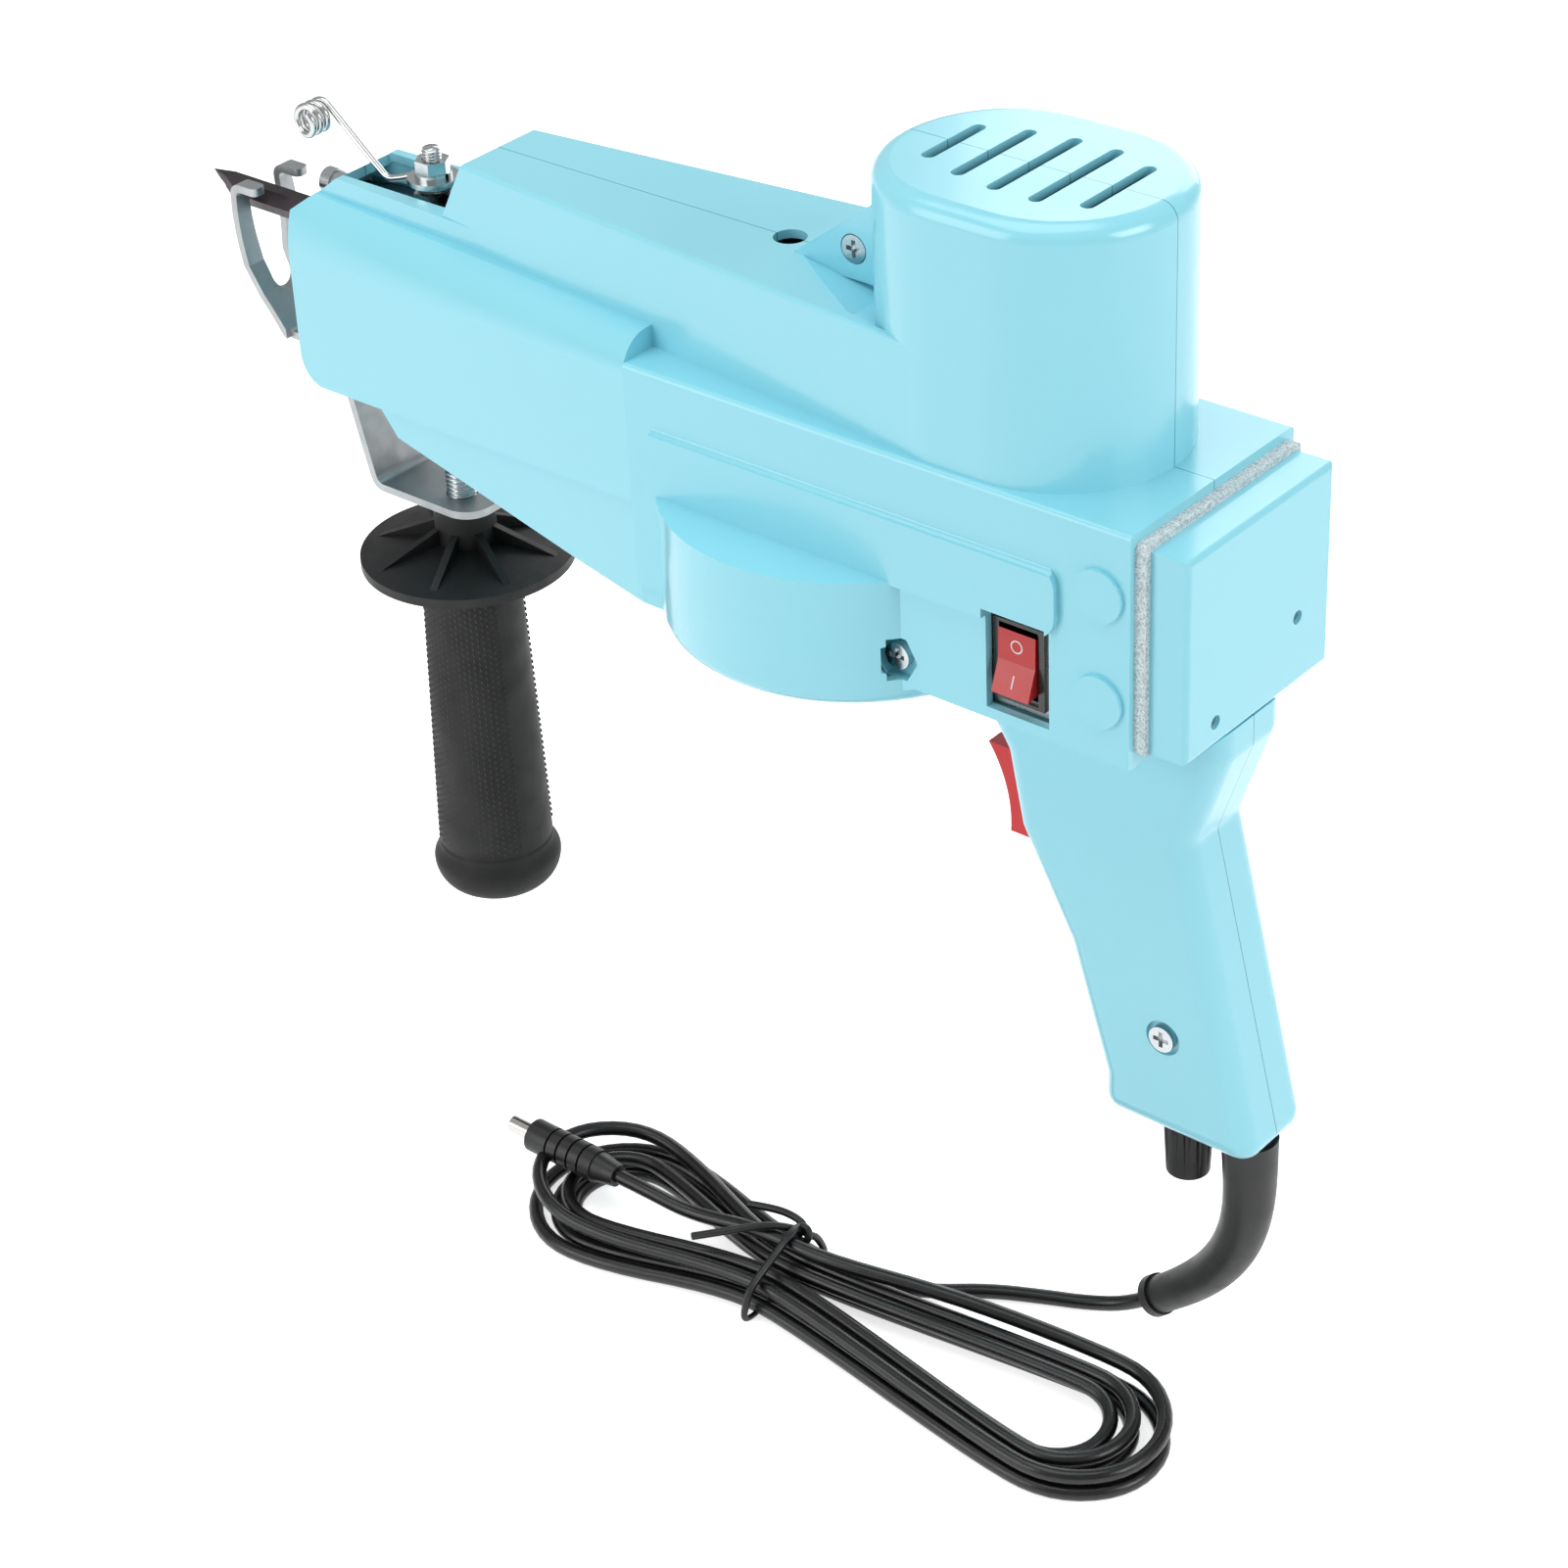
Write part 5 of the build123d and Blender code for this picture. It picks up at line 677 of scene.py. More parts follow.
@dataclass
class ThreadedRod:
    """A metric thread on a vertical axis, with a chamfered top end."""

    name: str
    axis_x: float
    bottom_z: float
    top_z: float
    radius: float
    pitch: float
    depth_share: float = 0.6
    flank_gain: float = 2.3
    sides: int = 40
    steps_per_pitch: int = 8
    merge_mm: float = 0.001

    def cut_radius(self, pattern: NodePattern, rise: bpy.types.Node, around: bpy.types.Node,
                   size: bpy.types.NodeSocket) -> tuple[bpy.types.Node, bpy.types.Node]:
        """The rod's radius at each point: the thread's flanks, cut short by the chamfer at the top.

        Args:
            pattern: The rod's tree.
            rise: Each point's height above the bottom.
            around: Each point's share of a turn.
            size: The rod's length.

        Returns:
            The radius, and the radius at the foot of the thread.
        """
        radius = pattern.number("Radius", self.radius * MM)
        pitch = pattern.number("Pitch", self.pitch * MM)
        depth = pattern.number("Depth", self.depth_share * self.pitch * MM)
        turns = pattern.add("ShaderNodeMath", {0: rise, 1: pitch}, operation="DIVIDE")
        wound = pattern.add("ShaderNodeMath", {0: turns, 1: around}, operation="SUBTRACT")
        phase = pattern.add("ShaderNodeMath", {0: wound}, operation="FRACT")
        centred = pattern.add("ShaderNodeMath", {0: phase, 1: 0.5}, operation="SUBTRACT")
        flank = pattern.add("ShaderNodeMath", {0: centred}, operation="ABSOLUTE")
        steep = pattern.add("ShaderNodeMath", {0: flank, 1: self.flank_gain}, operation="MULTIPLY")
        ridge = pattern.add("ShaderNodeMath", {0: steep, 1: 1.0}, operation="MINIMUM")
        cut = pattern.add("ShaderNodeMath", {0: ridge, 1: depth}, operation="MULTIPLY")
        thread = pattern.add("ShaderNodeMath", {0: radius, 1: cut}, operation="SUBTRACT")
        left = pattern.add("ShaderNodeMath", {0: size, 1: rise}, operation="SUBTRACT")
        foot = pattern.add("ShaderNodeMath", {0: radius, 1: depth}, operation="SUBTRACT")
        chamfer = pattern.add("ShaderNodeMath", {0: left, 1: foot}, operation="ADD")
        return pattern.add("ShaderNodeMath", {0: thread, 1: chamfer}, operation="MINIMUM"), foot

    def build(self, material: bpy.types.Material) -> bpy.types.Object:
        """Makes the thread as a grid wrapped round its axis, with its radius following the pitch.

        Args:
            material: The rod's finish.

        Returns:
            The rod as one closed mesh.
        """
        length = self.top_z - self.bottom_z
        rows = int(length / self.pitch * self.steps_per_pitch)
        pattern = NodePattern(self.name + "_tree")
        axis_x = pattern.number("Axis X", self.axis_x * MM)
        bottom = pattern.number("Bottom", self.bottom_z * MM)
        size = pattern.number("Length", length * MM)
        grid = pattern.add("GeometryNodeMeshGrid", {
            "Size X": 1.0, "Size Y": 1.0, "Vertices X": self.sides + 1, "Vertices Y": rows + 1})
        place = pattern.add("GeometryNodeInputPosition")
        axes = pattern.add("ShaderNodeSeparateXYZ", {"Vector": place})
        around = pattern.add("ShaderNodeMath", {0: axes.outputs["X"], 1: 0.5}, operation="ADD")
        row = pattern.add("ShaderNodeMath", {0: axes.outputs["Y"], 1: 0.5}, operation="ADD")
        rise = pattern.add("ShaderNodeMath", {0: row, 1: size}, operation="MULTIPLY")
        turned, foot = self.cut_radius(pattern, rise, around, size)
        angle = pattern.add("ShaderNodeMath", {0: around, 1: math.tau}, operation="MULTIPLY")
        cosine = pattern.add("ShaderNodeMath", {0: angle}, operation="COSINE")
        sine = pattern.add("ShaderNodeMath", {0: angle}, operation="SINE")
        out_x = pattern.add("ShaderNodeMath", {0: turned, 1: cosine}, operation="MULTIPLY")
        x = pattern.add("ShaderNodeMath", {0: axis_x, 1: out_x}, operation="ADD")
        y = pattern.add("ShaderNodeMath", {0: turned, 1: sine}, operation="MULTIPLY")
        z = pattern.add("ShaderNodeMath", {0: bottom, 1: rise}, operation="ADD")
        spot = pattern.add("ShaderNodeCombineXYZ", {"X": x, "Y": y, "Z": z})
        wrapped = pattern.add("GeometryNodeSetPosition", {"Geometry": grid, "Position": spot})
        disc = pattern.add("GeometryNodeMeshCircle", {"Radius": foot, "Vertices": self.sides},
                           fill_type="NGON")
        top_z = pattern.add("ShaderNodeMath", {0: bottom, 1: size}, operation="ADD")
        lift = pattern.add("ShaderNodeCombineXYZ", {"X": axis_x, "Z": top_z})
        top = pattern.add("GeometryNodeTransform", {"Geometry": disc, "Translation": lift})
        both = pattern.add("GeometryNodeJoinGeometry", {"Geometry": wrapped})
        pattern.tree.links.new(top.outputs["Geometry"], both.inputs["Geometry"])
        merged = pattern.add("GeometryNodeMergeByDistance", {
            "Geometry": both, "Distance": self.merge_mm * MM})
        smooth = pattern.add("GeometryNodeSetShadeSmooth", {"Geometry": merged})
        return pattern.finish(smooth, self.name, {"Length": length * MM, "Pitch": self.pitch * MM}, material)


# Studio


@dataclass(frozen=True)
class SoftLamp:
    """A square soft panel: its place and side in millimetres, and its power in watts."""

    name: str
    place: Point
    side: float
    power: float

    def build(self, target: Point) -> None:
        """Hangs the panel, turned to what it lights.

        Args:
            target: What it points at, in millimetres.
        """
        data = bpy.data.lights.new(self.name, "AREA")
        data.shape = "SQUARE"
        data.size = self.side * MM
        data.energy = self.power
        start, end = Vector(mm(*self.place)), Vector(mm(*target))
        turn = (end - start).to_track_quat("-Z", "Y").to_matrix().to_4x4()
        add_object(self.name, data).matrix_world = Matrix.Translation(start) @ turn


@dataclass
class Studio:
    """Pale floor, soft lamps and the camera at the photograph's angle."""

    azimuth: float = 41.06
    elevation: float = 32.65
    roll: float = -2.86
    camera_place: Point = (488.4, -720.6, 616.3)
    lens: float = 87.59
    sensor: float = 36.0
    nearest: float = 0.01
    farthest: float = 50.0
    floor_z: float = -139.25
    floor_half: float = 6000.0
    floor_grey: str = "#F4F4F4"
    floor_roughness: float = 0.9
    floor_gloss: float = 0.1
    floor_glow: float = 0.68
    gloss_share: float = 0.5
    fill: float = 0.38
    centre: Point = (-150.0, 0.0, 60.0)
    lamps: tuple[SoftLamp, ...] = (
        SoftLamp("overhead", (-250.0, -150.0, 1300.0), 1100.0, 7.9),
        SoftLamp("front_left", (-700.0, -1200.0, 500.0), 900.0, 7.3),
        SoftLamp("rear_right", (1200.0, 100.0, 600.0), 700.0, 7.6),
        SoftLamp("far_side", (-500.0, 1300.0, 550.0), 900.0, 6.0),
    )

    def camera(self) -> None:
        """Sets up the photograph's camera."""
        turn, lift, roll = (math.radians(v) for v in (self.azimuth, self.elevation, self.roll))
        right = Vector((math.cos(turn), math.sin(turn), 0))
        back = Vector((math.sin(turn) * math.cos(lift), -math.cos(turn) * math.cos(lift), math.sin(lift)))
        up = back.cross(right)
        rolled_right = right * math.cos(roll) + up * math.sin(roll)
        rolled_up = up * math.cos(roll) - right * math.sin(roll)
        data = bpy.data.cameras.new("camera")
        data.lens = self.lens
        data.sensor_width = self.sensor
        data.clip_start = self.nearest
        data.clip_end = self.farthest
        place = Matrix((rolled_right, rolled_up, back)).transposed().to_4x4()
        place.translation = Vector(mm(*self.camera_place))
        camera = add_object("camera", data)
        camera.matrix_world = place
        bpy.context.scene.camera = camera

    def floor(self) -> None:
        """Lays a wide pale floor just under the cord, that glows a little only where it is seen."""
        half, z = self.floor_half, self.floor_z
        corners = [(-half, -half, z), (half, -half, z), (half, half, z), (-half, half, z)]
        floor = make_piece("floor", corners, [(0, 1, 2, 3)], smooth=False)
        material = bpy.data.materials.new("PaleFloor")
        material.use_nodes = True
        tree = material.node_tree
        shader = tree.nodes["Principled BSDF"]
        shader.inputs["Base Color"].default_value = hex_linear(self.floor_grey)
        shader.inputs["Roughness"].default_value = self.floor_roughness
        shader.inputs["Specular IOR Level"].default_value = self.floor_gloss
        shader.inputs["Emission Color"].default_value = WHITE
        rays = add_node(tree, "ShaderNodeLightPath")
        through = add_node(tree, "ShaderNodeMath", {
            0: rays.outputs["Is Glossy Ray"], 1: rays.outputs["Is Transmission Ray"]}, operation="MAXIMUM")
        seen = add_node(tree, "ShaderNodeMath", {0: rays.outputs["Is Camera Ray"], 1: through},
                        operation="MAXIMUM")
        glow = add_node(tree, "ShaderNodeMath", {0: seen, 1: self.floor_glow}, operation="MULTIPLY")
        tree.links.new(glow.outputs["Value"], shader.inputs["Emission Strength"])
        floor.data.materials.append(material)

    def world(self) -> None:
        """Makes a white surround for what the camera and the gloss see, and an even fill for the rest."""
        world = bpy.data.worlds.new("studio")
        world.use_nodes = True
        tree = world.node_tree
        ground = tree.nodes["Background"]
        ground.inputs["Color"].default_value = WHITE
        rays = add_node(tree, "ShaderNodeLightPath")
        through = add_node(tree, "ShaderNodeMath", {
            0: rays.outputs["Is Glossy Ray"], 1: rays.outputs["Is Transmission Ray"]}, operation="MAXIMUM")
        dimmed = add_node(tree, "ShaderNodeMath", {0: through, 1: self.gloss_share}, operation="MULTIPLY")
        seen = add_node(tree, "ShaderNodeMath", {0: rays.outputs["Is Camera Ray"], 1: dimmed},
                        operation="MAXIMUM")
        strength = add_node(tree, "ShaderNodeMath", {0: seen, 1: self.fill}, operation="MAXIMUM")
        tree.links.new(strength.outputs["Value"], ground.inputs["Strength"])
        bpy.context.scene.world = world

    def build(self) -> None:
        """Sets up everything that isn't the object."""
        self.camera()
        self.floor()
        self.world()
        for lamp in self.lamps:
            lamp.build(self.centre)
        bpy.context.scene.view_settings.view_transform = "Standard"


# Sub-assemblies


@dataclass
class CadDress:
    """The solids that keep their shape and only take a finish."""

    looks: dict[Look, tuple[str, ...]] = field(default_factory=lambda: {
        Look.CYAN_ABS: ("left_shell", "right_shell"),
        Look.CAP_ABS: ("rear_cap",),
        Look.FIBRE_SHEET: ("rear_plate",),
        Look.ZINC: ("shell_screws", "grip_screw", "cap_screws", "motor_screws", "foot_screw",
                    "bracket_screws", "stud_spacer", "flat_washer", "spring_washer", "guide_nut",
                    "yarn_tube", "control_shaft", "handle_stud", "guide_stud"),
        Look.SHEET_ZINC: ("handle_bracket", "presser_foot"),
        Look.WIRE: ("yarn_guide",),
        Look.BURNISHED: ("needle",),
        Look.GROUND_STEEL: ("gear_shaft", "gear_bearings", "crank_disc", "crank_pin", "wrist_pin",
                            "guide_rods", "motor_shaft", "motor_pinion"),
        Look.ALUMINIUM: ("front_block", "chassis_plate", "connecting_rod", "needle_carriage"),
        Look.BRONZE: ("needle_bushing",),
        Look.NYLON: ("drive_gear",),
        Look.MOTOR_CAN: ("motor_can",),
        Look.HANDLE_NYLON: ("side_handle", "motor_end_cap", "trigger_switch", "speed_control", "speed_knob"),
        Look.SLEEVE: ("handle_sleeve",),
        Look.BLACK_GLOSS: ("switch_frame",),
        Look.BRIGHT_EDGE: ("switch_plate",),
        Look.RED: ("switch_rocker",),
        Look.TRIGGER_RED: ("trigger",),
        Look.BOOT_RUBBER: ("cord_boot", "cord_plug"),
        Look.JACKET: ("cord_lead", "cord_hank"),
        Look.CHROME: ("plug_barrel",),
    })

    def build(self, finishes: Finishes) -> list[bpy.types.Object]:
        """Reassigns every solid's material.

        Args:
            finishes: The materials.

        Returns:
            The dressed solids.
        """
        dressed = []
        for look, nodes in self.looks.items():
            for node in nodes:
                finishes.dress(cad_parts[node], look)
                dressed.append(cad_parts[node])
        return dressed


@dataclass
class StudThreads:
    """The two threaded studs that show: under the belly and through the yarn guide."""

    handle: ThreadedRod = field(default_factory=lambda: ThreadedRod(
        "handle_stud_thread", HANDLE_X, 20.0, 112.0, 4.9, 1.5))
    guide: ThreadedRod = field(default_factory=lambda: ThreadedRod(
        "guide_stud_thread", -263.2, 150.6, 177.7, 3.0, 1.0))

    def build(self, finishes: Finishes) -> list[bpy.types.Object]:
        """Makes both threads and puts them in their solids' places.

        Args:
            finishes: The materials.

        Returns:
            The two rods.
        """
        pieces = []
        for rod, node in ((self.handle, "handle_stud"), (self.guide, "guide_stud")):
            piece = rod.build(finishes.get(Look.ZINC))
            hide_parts(node)
            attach(piece, "machine")
            pieces.append(piece)
        return pieces


@dataclass
class SleeveKnurl:
    """The side handle's sleeve, with rows of fine raised pads on its grip.

    Two panels of pads stand between two smooth strips. Every second column is set half a row lower.
    """

    axis_x: float = HANDLE_X
    top_z: float = 38.0
    top_radius: float = 15.2
    lip_width: float = 0.9
    lip_round: float = 0.25
    lip_drop: float = 0.3
    lip_height: float = 1.0
    low_z: float = -62.0
    low_radius: float = 18.4
    groove_top: float = 1.5
    groove_high: float = 1.2
    groove_low: float = 0.8
    groove_bottom: float = 0.5
    groove_depth: float = 0.3
    bulge_z: float = -68.0
    bulge_radius: float = 20.6
    bottom_z: float = -78.2
    core_radius: float = 12.05
    foot_corner: float = 9.0
    grip_steps: int = 14
    turn_steps: int = 12
    sides: int = 128
    columns: int = 37
    rows: int = 43
    pads_below_top: float = 5.0
    pads_above_low: float = 4.5
    pad_height: float = 0.5
    pad_foot: float = 0.86
    pad_top: float = 0.56
    pad_width_share: float = 0.8
    pad_sink: float = 0.03
    strip_degrees: float = 70.0
    first_degrees: float = 50.0

    def sleeve(self) -> bpy.types.Object:
        """The smooth sleeve under the pads, with a fine groove over its bulge and a rounded foot.

        Returns:
            The sleeve as one closed mesh.
        """
        low, bulge, lip_z = self.low_radius, self.bulge_radius, self.top_z - self.lip_height
        profile = [(self.core_radius, self.top_z), (self.top_radius - self.lip_width, self.top_z),
                   (self.top_radius - self.lip_round, self.top_z - self.lip_drop), (self.top_radius, lip_z)]
        grip_drop = lip_z - (self.low_z + self.groove_top)
        for step in range(1, self.grip_steps + 1):
            share = step / self.grip_steps
            profile.append((self.top_radius + (low - self.top_radius) * share, lip_z - grip_drop * share))
        profile += [(low - self.groove_depth, self.low_z + self.groove_high),
                    (low - self.groove_depth, self.low_z + self.groove_low),
                    (low, self.low_z + self.groove_bottom)]
        drop = self.low_z - self.bulge_z
        for step in range(1, self.turn_steps + 1):
            share = step / self.turn_steps
            swell = (1 - math.cos(math.pi * share)) / 2
            profile.append((low + (bulge - low) * swell, self.low_z - drop * share))
        depth = self.bulge_z - self.bottom_z
        for step in range(1, self.turn_steps + 1):
            angle = math.pi / 2 * step / self.turn_steps
            profile.append((bulge - self.foot_corner + self.foot_corner * math.cos(angle),
                            self.bulge_z - depth * math.sin(angle)))
        profile.append((0.0, self.bottom_z))
        return lathe("handle_sleeve_body", self.axis_x, 0.0, profile, self.sides)

    def column_angle(self, pattern: NodePattern, share: bpy.types.Node) -> bpy.types.Node:
        """Each column's place round the grip, with a smooth strip skipped half way.

        Args:
            pattern: The pads' tree.
            share: The column's share of the way, from zero to one.

        Returns:
            The angle.
        """
        strip = pattern.number("Strip", math.radians(self.strip_degrees))
        first = pattern.number("First", math.radians(self.first_degrees))
        strips = pattern.add("ShaderNodeMath", {0: strip, 1: 2.0}, operation="MULTIPLY")
        covered = pattern.add("ShaderNodeMath", {0: math.tau, 1: strips}, operation="SUBTRACT")
        past_half = pattern.add("ShaderNodeMath", {0: share, 1: 0.5}, operation="GREATER_THAN")
        skipped = pattern.add("ShaderNodeMath", {0: past_half, 1: strip}, operation="MULTIPLY")
        spread = pattern.add("ShaderNodeMath", {0: share, 1: covered}, operation="MULTIPLY")
        turned = pattern.add("ShaderNodeMath", {0: spread, 1: skipped}, operation="ADD")
        return pattern.add("ShaderNodeMath", {0: turned, 1: first}, operation="ADD")

    def fall(self, pattern: NodePattern, share: bpy.types.Node, row: bpy.types.NodeSocket) -> bpy.types.Node:
        """Each pad's share of the way down, every second column half a row lower.

        Args:
            pattern: The pads' tree.
            share: The column's share of the way round.
            row: The row's place on the grid, from minus to plus a half.

        Returns:
            The share of the way down.
        """
        count = pattern.add("ShaderNodeMath", {0: share, 1: self.columns - 1.0}, operation="MULTIPLY")
        column = pattern.add("ShaderNodeMath", {0: count}, operation="ROUND")
        odd = pattern.add("ShaderNodeMath", {0: column, 1: 2.0}, operation="MODULO")
        stagger = pattern.add("ShaderNodeMath", {0: odd, 1: 0.5 / (self.rows - 1)}, operation="MULTIPLY")
        even = pattern.add("ShaderNodeMath", {0: row, 1: 0.5}, operation="ADD")
        return pattern.add("ShaderNodeMath", {0: even, 1: stagger}, operation="ADD")

    def pads(self, material: bpy.types.Material) -> bpy.types.Object:
        """Small low pads in even rows, set on the cone of the grip.

        Args:
            material: The pads' finish.

        Returns:
            All pads as one mesh.
        """
        top, bottom = self.top_z - self.pads_below_top, self.low_z + self.pads_above_low
        slope = (self.low_radius - self.top_radius) / (self.top_z - self.low_z)
        first_radius = self.top_radius + slope * self.pads_below_top - self.pad_sink
        pattern = NodePattern("knurl_tree")
        axis = pattern.number("Axis X", self.axis_x * MM)
        high = pattern.number("Top", top * MM)
        span = pattern.number("Span", (top - bottom) * MM)
        radius = pattern.number("Top Radius", first_radius * MM)
        lean = pattern.number("Lean", slope)
        columns = pattern.number("Columns", self.columns)
        grid = pattern.add("GeometryNodeMeshGrid", {
            "Size X": 1.0, "Size Y": 1.0, "Vertices X": columns, "Vertices Y": self.rows})
        place = pattern.add("GeometryNodeInputPosition")
        axes = pattern.add("ShaderNodeSeparateXYZ", {"Vector": place})
        share = pattern.add("ShaderNodeMath", {0: axes.outputs["X"], 1: 0.5}, operation="ADD")
        angle = self.column_angle(pattern, share)
        fall = self.fall(pattern, share, axes.outputs["Y"])
        down = pattern.add("ShaderNodeMath", {0: fall, 1: span}, operation="MULTIPLY")
        widened = pattern.add("ShaderNodeMath", {0: down, 1: lean}, operation="MULTIPLY")
        out = pattern.add("ShaderNodeMath", {0: radius, 1: widened}, operation="ADD")
        cosine = pattern.add("ShaderNodeMath", {0: angle}, operation="COSINE")
        sine = pattern.add("ShaderNodeMath", {0: angle}, operation="SINE")
        out_x = pattern.add("ShaderNodeMath", {0: out, 1: cosine}, operation="MULTIPLY")
        x = pattern.add("ShaderNodeMath", {0: axis, 1: out_x}, operation="ADD")
        y = pattern.add("ShaderNodeMath", {0: out, 1: sine}, operation="MULTIPLY")
        z = pattern.add("ShaderNodeMath", {0: high, 1: down}, operation="SUBTRACT")
        spot = pattern.add("ShaderNodeCombineXYZ", {"X": x, "Y": y, "Z": z})
        dots = pattern.add("GeometryNodeMeshToPoints", {"Mesh": grid, "Position": spot})
        pad = pattern.add("GeometryNodeMeshCone", {
            "Vertices": 4, "Radius Bottom": self.pad_foot * MM, "Radius Top": self.pad_top * MM,
            "Depth": self.pad_height * MM})
        square = pattern.add("GeometryNodeTransform", {
            "Geometry": pad, "Rotation": (0.0, 0.0, math.pi / 4), "Scale": (self.pad_width_share, 1.0, 1.0)})
        spin = pattern.add("ShaderNodeCombineXYZ", {"Y": math.pi / 2, "Z": angle})
        placed = pattern.add("GeometryNodeInstanceOnPoints", {
            "Points": dots, "Instance": square, "Rotation": spin})
        return pattern.finish(placed, "handle_sleeve_pads", {"Columns": self.columns}, material)

    def build(self, finishes: Finishes) -> list[bpy.types.Object]:
        """Makes the sleeve and its pads.

        Args:
            finishes: The materials.

        Returns:
            The sleeve and the pads.
        """
        sleeve = self.sleeve()
        finishes.dress(sleeve, Look.SLEEVE)
        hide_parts("handle_sleeve")
        # The pads' lighter colour is a painted highlight on their tops; their lower roughness is real.
        pads = self.pads(finishes.get(Look.SLEEVE_PAD))
        for piece in (sleeve, pads):
            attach(piece, "machine")
        return [sleeve, pads]


@dataclass
class RockerMarks:
    """The generic O and I printed on the rocker's two faces, in millimetres and degrees."""

    middle_x: float = -25.9
    pivot_y: float = -32.3
    middle_z: float = 101.8
    tilt: float = -11.0
    face_depth: float = 3.2
    rise: float = 4.8
    half_height: float = 9.2
    lift: float = 0.04
    ink: float = 0.03
    ring_middle: float = 4.9
    ring_outer: float = 1.9
    ring_inner: float = 1.55
    ring_sides: int = 48
    bar_half: float = 0.18
    bar_low: float = -6.9
    bar_high: float = -3.3

    def place(self, across: float, along: float) -> Point:
        """A point on the rocker's face.

        Args:
            across: Distance from its middle along X.
            along: Distance from the ridge, upwards.

        Returns:
            The point, tilted as the rocker is at rest.
        """
        out = self.face_depth + (self.rise - self.face_depth) * abs(along) / self.half_height + self.lift
        angle = math.radians(self.tilt)
        y, z = -out, along
        return (self.middle_x + across, self.pivot_y + y * math.cos(angle) - z * math.sin(angle),
                self.middle_z + y * math.sin(angle) + z * math.cos(angle))

    def ring(self) -> bpy.types.Object:
        """The O on the upper face.

        Returns:
            Its flat mesh.
        """
        sides = self.ring_sides
        points: list[Point] = []
        for radius in (self.ring_outer, self.ring_inner):
            for side in range(sides):
                angle = math.tau * side / sides
                points.append(self.place(radius * math.cos(angle),
                                         self.ring_middle + radius * math.sin(angle)))
        faces = []
        for side in range(sides):
            after = (side + 1) % sides
            faces.append((side, after, sides + after, sides + side))
        return make_piece("rocker_mark_off", points, faces, smooth=False)

    def bar(self) -> bpy.types.Object:
        """The I on the lower face.

        Returns:
            Its flat mesh.
        """
        half, low, high = self.bar_half, self.bar_low, self.bar_high
        corners = ((-half, low), (half, low), (half, high), (-half, high))
        points = [self.place(across, along) for across, along in corners]
        return make_piece("rocker_mark_on", points, [(0, 1, 2, 3)], smooth=False)

    def build(self, finishes: Finishes) -> list[bpy.types.Object]:
        """Prints both marks.

        Args:
            finishes: The materials.

        Returns:
            The two marks.
        """
        marks = [self.ring(), self.bar()]
        for piece in marks:
            solid = piece.modifiers.new("ink", "SOLIDIFY")
            solid.thickness = self.ink * MM
            solid.offset = 0.0
            finishes.dress(piece, Look.MARK_WHITE)
            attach(piece, "rocker")
        return marks


@dataclass
class TwistTie:
    """The coated wire drawn tight round the hank's waist and knotted on top, in millimetres.

    The girth's rows are Y, Z and the share of the wire's radius left there: it is pressed flat under
    the cord.
    """

    x: float = -104.0
    wire: float = 1.2
    knot: Point = (-104.4, -41.3, -123.9)
    knot_radius: float = 2.5
    knot_steps: int = 8
    knot_turn: float = 55.0
    knot_pitch: float = 0.4
    slope: float = 0.787
    resolution: int = 6
    bevel: int = 4
    first_end: tuple[Point, ...] = (
        (-130.0, -63.5, -122.6),
        (-121.0, -58.0, -119.8),
        (-112.0, -48.5, -118.9),
        (-105.6, -41.8, -122.4),
    )
    girth: tuple[tuple[float, float, float], ...] = (
        (-38.0, -126.6, 1.0),
        (-36.3, -127.9, 1.0),
        (-34.3, -131.4, 1.0),
        (-31.6, -137.7, 0.8),
        (-42.0, -138.4, 0.62),
        (-62.0, -138.4, 0.62),
        (-71.8, -137.9, 0.8),
        (-69.5, -131.0, 1.0),
        (-67.4, -127.3, 1.0),
        (-57.0, -123.0, 1.0),
        (-47.4, -118.9, 1.0),
    )
    second_end: tuple[Point, ...] = (
        (-109.5, -38.5, -121.6),
        (-118.0, -38.0, -122.6),
        (-127.0, -40.5, -123.6),
    )

    def coil(self) -> list[Point]:
        """The turn of the second end round the first, a screw line about the girth's slope.

        Returns:
            Its control points.
        """
        x, y, z = self.knot
        rise = math.sqrt(1 - self.slope ** 2)
        points = []
        for step in range(self.knot_steps):
            angle = math.radians(self.knot_turn * (step - 1))
            out, side = self.knot_radius * math.cos(angle), self.knot_radius * math.sin(angle)
            along = self.knot_pitch * (step - self.knot_steps / 2)
            points.append((x + side, y + out * rise + along * self.slope,
                           z + out * self.slope - along * rise))
        return points

    def build(self, finishes: Finishes) -> bpy.types.Object:
        """Ties it.

        Args:
            finishes: The materials.

        Returns:
            The tie, as a mesh.
        """
        girth = [(self.x, y, z) for y, z, _ in self.girth]
        points = [*self.first_end, *girth, *self.coil(), *self.second_end]
        tie = curve_piece("hank_twist_tie", points, self.wire, self.resolution, self.bevel)
        spline = tie.data.splines[0]
        for place, (_, _, share) in zip(spline.points[len(self.first_end):], self.girth):
            place.radius = share
        tie = curve_to_mesh(tie)
        finishes.dress(tie, Look.BOOT_RUBBER)
        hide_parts("hank_tie")
        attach(tie, "machine")
        return tie


